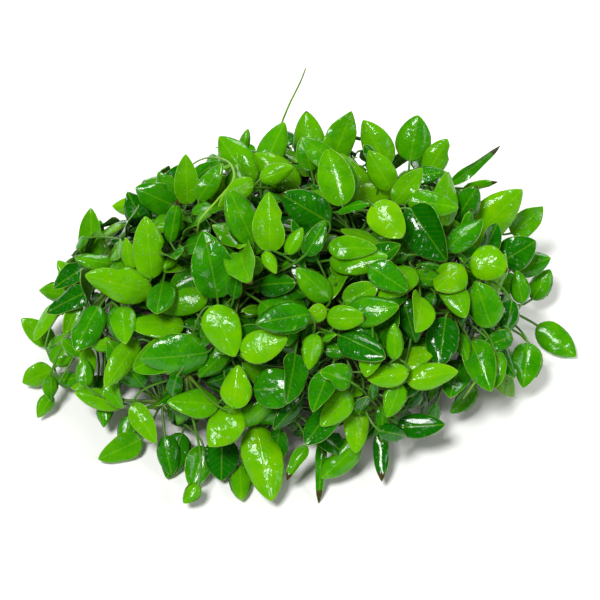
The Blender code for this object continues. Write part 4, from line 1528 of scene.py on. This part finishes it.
        # What the finish reads, in millimetres: how far along, how far from the midrib, how far from the rim.
        inside = add_node(tree, "ShaderNodeMath", {0: 1.0, 1: out}, operation="SUBTRACT")
        inside = add_node(tree, "ShaderNodeMath", {0: inside, 1: half}, operation="MULTIPLY")
        ruler = add_node(tree, "ShaderNodeCombineXYZ", {0: run, 1: across, 2: inside})
        ruler = add_node(tree, "ShaderNodeVectorMath", {0: ruler, 3: 1 / MM}, operation="SCALE")
        measured = add_node(tree, "GeometryNodeStoreNamedAttribute",
                            {"Geometry": flat, "Name": "blade", "Value": ruler},
                            data_type="FLOAT_VECTOR", domain="POINT")
        tip = add_node(tree, "ShaderNodeMath", {0: length, 1: run}, operation="SUBTRACT")
        tip = add_node(tree, "ShaderNodeMath", {0: tip, 1: 1 / MM}, operation="MULTIPLY")
        dead = add_node(tree, "GeometryNodeInputNamedAttribute", {"Name": "scorch"}, data_type="FLOAT")
        dead = add_node(tree, "ShaderNodeMath", {0: dead.outputs[0], 1: tip}, operation="SUBTRACT")
        measured = add_node(tree, "GeometryNodeStoreNamedAttribute",
                            {"Geometry": measured, "Name": "dead", "Value": dead},
                            data_type="FLOAT", domain="POINT")
        halves = []
        for finish, sign in ((top, 1.0), (under, -1.0)):
            skin = add_node(tree, "ShaderNodeMath", {0: flesh, 1: sign, 2: rise}, operation="MULTIPLY_ADD")
            skin = add_node(tree, "ShaderNodeVectorMath", {0: outward, 3: skin}, operation="SCALE")
            skin = add_node(tree, "ShaderNodeVectorMath", {0: spine, 1: skin}, operation="ADD")
            shaped = add_node(tree, "GeometryNodeSetPosition", {"Geometry": measured, "Position": skin})
            if finish is top:
                shaped = add_node(tree, "GeometryNodeFlipFaces", {0: shaped})
            halves.append(add_node(tree, "GeometryNodeSetMaterial", {"Geometry": shaped, "Material": finish}))
        joined = add_node(tree, "GeometryNodeJoinGeometry")
        for part in reversed(halves):
            tree.links.new(part.outputs[0], joined.inputs[0])
        closed = add_node(tree, "GeometryNodeMergeByDistance", {"Geometry": joined, "Distance": 0.004 * MM})
        return closed.outputs[0]

    def stems(self, lines: bpy.types.NodeSocket, given: bpy.types.Node,
              finish: bpy.types.Material) -> bpy.types.NodeSocket:
        """Grow the stems along the plan's lines.

        Args:
            lines: the lines.
            given: the tree's inputs.
            finish: the stems' finish.

        Returns:
            The stems, each a closed tube.
        """
        tree = self.tree
        curves = add_node(tree, "GeometryNodeMeshToCurve", {"Mesh": lines})
        thick = add_node(tree, "GeometryNodeInputNamedAttribute", {"Name": "thick"}, data_type="FLOAT")
        ring = add_node(tree, "GeometryNodeCurvePrimitiveCircle",
                        {"Resolution": given.outputs["Stem Sides"], "Radius": 1.0})
        tubes = add_node(tree, "GeometryNodeCurveToMesh", {
            "Curve": curves, "Profile Curve": ring, "Scale": thick.outputs[0], "Fill Caps": True})
        return add_node(tree, "GeometryNodeSetMaterial", {"Geometry": tubes, "Material": finish}).outputs[0]

    def grow(self, plan: Plan, name: str, **sizes: float) -> bpy.types.Object:
        """Grow a piece on its plan.

        Args:
            plan: the piece's plan.
            name: the piece's name.
            sizes: any of the tree's inputs that differ from its own.

        Returns:
            The piece, as a plain mesh with nothing left live.
        """
        seedling = bpy.data.objects.new("plan", plan.mesh("plan"))
        bpy.context.scene.collection.objects.link(seedling)
        modifier = seedling.modifiers.new("foliage", "NODES")
        modifier.node_group = self.tree
        for key, (identifier, value) in self.inputs.items():
            modifier[identifier] = sizes.get(key.replace(" ", "_").lower(), value)
        seedling.update_tag()
        ready = seedling.evaluated_get(bpy.context.evaluated_depsgraph_get())
        mesh = bpy.data.meshes.new_from_object(ready)
        seedling.modifiers.remove(modifier)
        bpy.data.objects.remove(seedling, do_unlink=True)
        for key in ("place", "base", "aim", "face", "size", "bend", "ripple", "bite", "thick", "is_blade",
                    "crown", "scorch", "small"):
            if key in mesh.attributes:
                mesh.attributes.remove(mesh.attributes[key])
        mesh.name = name
        piece = bpy.data.objects.new(name, mesh)
        bpy.context.scene.collection.objects.link(piece)
        return piece


# ------------------------------------------------------------------------------------------- pieces


@dataclass
class Foliage:
    """The shoots with their leaves, one piece each."""

    garden: Garden
    tree: FoliageTree
    ring_gap: float = 1.15
    seed: int = 23

    def build(self) -> None:
        """Grow each shoot's piece and give it its solid's place."""
        for number, shoot in enumerate(self.garden.shoots, 1):
            name = f"shoot_{number:02d}"
            dice = random.Random(self.seed * 100 + number)
            plan = Plan()
            self.add_stub(plan, shoot, dice)
            for place, leaf in enumerate(shoot.leaves):
                plan.add_leaf(leaf, shoot, place >= self.garden.with_solids[number - 1], dice)
            piece = self.tree.grow(plan, f"leafy_{name}")
            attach(piece, "root")
            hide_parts(name)
            log.info("%s: %d leaves, %d faces", piece.name, len(shoot.leaves), len(piece.data.polygons))

    def add_stub(self, plan: Plan, shoot: Shoot, dice: random.Random) -> None:
        """Add the ringed stub that the stalks grow from, with a fresh bud at its tip.

        Args:
            plan: the piece's plan.
            shoot: the shoot.
            dice: the random numbers.
        """
        steps = 22
        path = []
        thick = []
        wood = []
        for i in range(steps + 1):
            t = i / steps
            path.append(shoot.foot.lerp(shoot.top, t))
            ring = 0.12 * math.cos(2 * math.pi * t * shoot.length / self.ring_gap)
            thick.append((shoot.radius + (shoot.tip_radius - shoot.radius) * t + ring)
                         * min(1.0, 0.55 + t * 6))
            wood.append(max(0.15, 0.85 - 0.9 * t))
        bud = shoot.axis.lerp(Vector((dice.uniform(-1, 1), dice.uniform(-1, 1), 1)), 0.2).normalized()
        for t, radius in ((0.6, 1.0), (1.6, 0.75), (3.2, 0.45), (4.6, 0.12)):
            path.append(shoot.top + bud * t)
            thick.append(radius)
            wood.append(0.0)
        plan.add_stem(path, thick, wood, 0.1, dice.random())


@dataclass
class Rhizomes:
    """The creeping stems, each with its leaf scars and the thin roots that hold it to the stone."""

    garden: Garden
    tree: FoliageTree
    scar_gap: float = 2.4
    clinging_roots: int = 9
    root_steps: int = 16
    seed: int = 31

    def build(self) -> None:
        """Grow each rhizome's piece."""
        for number, route in enumerate(self.garden.routes, 1):
            dice = random.Random(self.seed + number)
            plan = Plan()
            path = smooth_path(route, 14)
            run = 0.0
            thick = []
            for i, point in enumerate(path):
                run += (point - path[max(i - 1, 0)]).length
                ring = 0.16 * math.cos(2 * math.pi * run / self.scar_gap)
                lump = 0.22 * noise.noise(point / 4)
                end = min(1.0, 0.5 + 0.2 * min(i, len(path) - 1 - i))
                thick.append((self.garden.rhizome_radius * 0.94 + ring + lump) * end)
            wood = [0.62 + 0.3 * noise.noise(point / 7) for point in path]
            plan.add_stem(path, thick, wood, 0.8, dice.random())
            for _ in range(self.clinging_roots):
                self.add_root(plan, path[dice.randrange(len(path))], dice)
            piece = self.tree.grow(plan, f"creeping_rhizome_{number:02d}", stem_sides=10)
            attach(piece, "root")
            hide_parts(f"rhizome_{number:02d}")
            log.info("%s: %d faces", piece.name, len(piece.data.polygons))

    def add_root(self, plan: Plan, start: Vector, dice: random.Random) -> None:
        """Add a root that leaves the rhizome and runs down over the stone.

        Args:
            plan: the piece's plan.
            start: where it leaves.
            dice: the random numbers.
        """
        skin = self.garden.skin
        path = [start]
        spot, normal, _, _ = skin.find_nearest(start)
        sway = dice.uniform(-1.2, 1.2)
        for _ in range(dice.randint(self.root_steps // 2, self.root_steps)):
            if normal.dot(spot - Vector((0, 0, self.garden.stone.waist))) < 0:
                normal = -normal
            down = -UP + normal * UP.dot(normal)
            side = normal.cross(down)
            sway += dice.uniform(-0.5, 0.5)
            step = (down.normalized() + side.normalized() * math.sin(sway)).normalized() * 2.0
            spot, normal, _, _ = skin.find_nearest(spot + step)
            if spot.z < 1.0:
                break
            path.append(spot + normal * 0.3)
        if len(path) > 4:
            thick = [0.42 * (1 - 0.6 * i / len(path)) for i in range(len(path))]
            plan.add_stem(smooth_path(path, 3), smooth_radii(thick, 3), [0.9] * (3 * len(path) - 2), 0.9,
                          dice.random())


def smooth_radii(thick: Sequence[float], steps: int) -> list[float]:
    """Spread radii over a path that was made finer.

    Args:
        thick: the radius at each point of the old path.
        steps: how many points the new path has for each stretch.

    Returns:
        The radius at each new point.
    """
    places = np.arange((len(thick) - 1) * steps + 1) / steps
    return [float(r) for r in np.interp(places, np.arange(len(thick)), thick)]


@dataclass
class FreeRoots:
    """The thin roots that stand free of the leaves."""

    garden: Garden
    tree: FoliageTree
    radius: float = 0.42

    def build(self) -> None:
        """Grow each root's piece."""
        for name, route in self.garden.roots.items():
            path = smooth_path(route, 12)
            last = len(path) - 1
            thick = [self.radius * (1 - 0.45 * (i / last) ** 2) * (1 + 0.1 * noise.noise(p / 2))
                     for i, p in enumerate(path)]
            thick[-1] = 0.12
            wood = [max(0.0, (i / last - 0.45) * 1.6) for i in range(last + 1)]
            plan = Plan()
            plan.add_stem(path, thick, wood, 0.3, 0.5)
            piece = self.tree.grow(plan, f"free_{name}", stem_sides=10)
            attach(piece, "root")
            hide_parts(name)
            log.info("%s: %d faces", piece.name, len(piece.data.polygons))


@dataclass
class Stone:
    """The stone under the plant, with a worn, pitted surface."""

    shape: StoneShape
    subdivisions: int = 6
    grain: float = 0.55

    def build(self) -> None:
        """Model the stone and give it its solid's place."""
        bm = self.shape.solid(self.subdivisions, self.grain)
        bmesh.ops.scale(bm, vec=(MM, MM, MM), verts=bm.verts)
        for part in bm.faces:
            part.smooth = True
        mesh = bpy.data.meshes.new("worn_stone")
        bm.to_mesh(mesh)
        bm.free()
        mesh.materials.append(StoneFinish().material())
        piece = bpy.data.objects.new("worn_stone", mesh)
        bpy.context.scene.collection.objects.link(piece)
        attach(piece, "root")
        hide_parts("stone")
        log.info("%s: %d faces", piece.name, len(mesh.polygons))


@dataclass(frozen=True)
class Studio:
    """A pale floor, soft studio light and the camera."""

    camera_distance: float = 1.25
    view_width: float = 0.207
    target: tuple[float, float] = (0.0, 13.8)
    floor_side: float = 8.0

    def build(self) -> None:
        """Set up the studio."""
        self.floor()
        self.lights()
        self.camera()

    def floor(self) -> None:
        """Lay the pale floor."""
        bpy.ops.mesh.primitive_plane_add(size=self.floor_side)
        floor = bpy.context.object
        floor.name = "studio_floor"
        material, _, shader = new_material("matte_white_paper")
        shader.inputs["Base Color"].default_value = srgb("#fcfcfa")
        shader.inputs["Roughness"].default_value = 0.9
        floor.data.materials.append(material)

    def lights(self) -> None:
        """Hang the soft lights and fill the room with pale light."""
        world = bpy.data.worlds.new("pale_room")
        world.use_nodes = True
        tree = world.node_tree
        sky = tree.nodes["Background"]
        sky.inputs["Color"].default_value = srgb("#fdfdfb")
        # The room is darker to a reflection than its light is, as round a table between dark curtains, and
        # its far wall is white.
        path = add_node(tree, "ShaderNodeLightPath")
        level = add_node(tree, "ShaderNodeMapRange", {0: path.outputs["Is Glossy Ray"], 3: 0.25, 4: 0.04})
        level = add_node(tree, "ShaderNodeMath", {0: level, 1: path.outputs["Is Camera Ray"]},
                         operation="MAXIMUM")
        tree.links.new(level.outputs[0], sky.inputs["Strength"])
        bpy.context.scene.world = world
        panel = bpy.data.lights.new("key_panel", "SUN")
        panel.angle = math.radians(15)
        boxes = [(panel, (-0.3, -0.45, 1.1), 2.85)]
        for name, place, side, power in (("fill_softbox", (0.8, -0.5, 0.7), 0.3, 2.0),
                                         ("back_softbox", (0.15, 0.85, 0.85), 0.4, 6.0)):
            boxes.append((bpy.data.lights.new(name, "AREA"), place, power))
            boxes[-1][0].size = side
        for light, place, power in boxes:
            light.energy = power
            lamp = bpy.data.objects.new(light.name, light)
            lamp.location = place
            lamp.rotation_euler = (Vector(place) - Vector((0, 0, 0.03))).to_track_quat("Z", "Y").to_euler()
            bpy.context.scene.collection.objects.link(lamp)

    def camera(self) -> None:
        """Set the camera square to the show side."""
        data = bpy.data.cameras.new("camera")
        data.lens = data.sensor_width * self.camera_distance / self.view_width
        camera = bpy.data.objects.new("camera", data)
        across, up = self.target
        centre = (SHOW_RIGHT * across + SHOW_UP * up) * MM
        camera.location = centre + SHOW_OUT * self.camera_distance
        camera.rotation_euler = (math.pi / 2 - SHOW_CLIMB, 0.0, 0.0)
        bpy.context.scene.collection.objects.link(camera)
        bpy.context.scene.camera = camera
        bpy.context.scene.view_settings.view_transform = "Standard"


def main() -> None:
    """Load the frame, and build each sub-assembly in order."""
    logging.basicConfig(level=logging.INFO, format="%(message)s")
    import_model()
    garden = Garden()
    log.info("%d leaves have solids", sum(len(shoot.leaves) for shoot in garden.shoots))
    log.info("%d smaller leaves fill the mound", garden.fill())
    top = LeafTopFinish().material()
    under = LeafUnderFinish().material()
    stalk = StemFinish("fleshy_green_stalk", "#438410", "#7b4f26", "#95683a").material()
    bark = StemFinish("ringed_rhizome_skin", "#5f8a2a", "#4c4a22", "#8d7b4c", 0.45).material()
    root = StemFinish("smooth_fresh_root", "#86bd2c", "#5b6a30", "#4a3b22").material()
    Stone(garden.stone).build()
    Rhizomes(garden, FoliageTree(top, under, bark)).build()
    Foliage(garden, FoliageTree(top, under, stalk)).build()
    FreeRoots(garden, FoliageTree(top, under, root)).build()
    Studio().build()


if __name__ == "__main__":
    main()
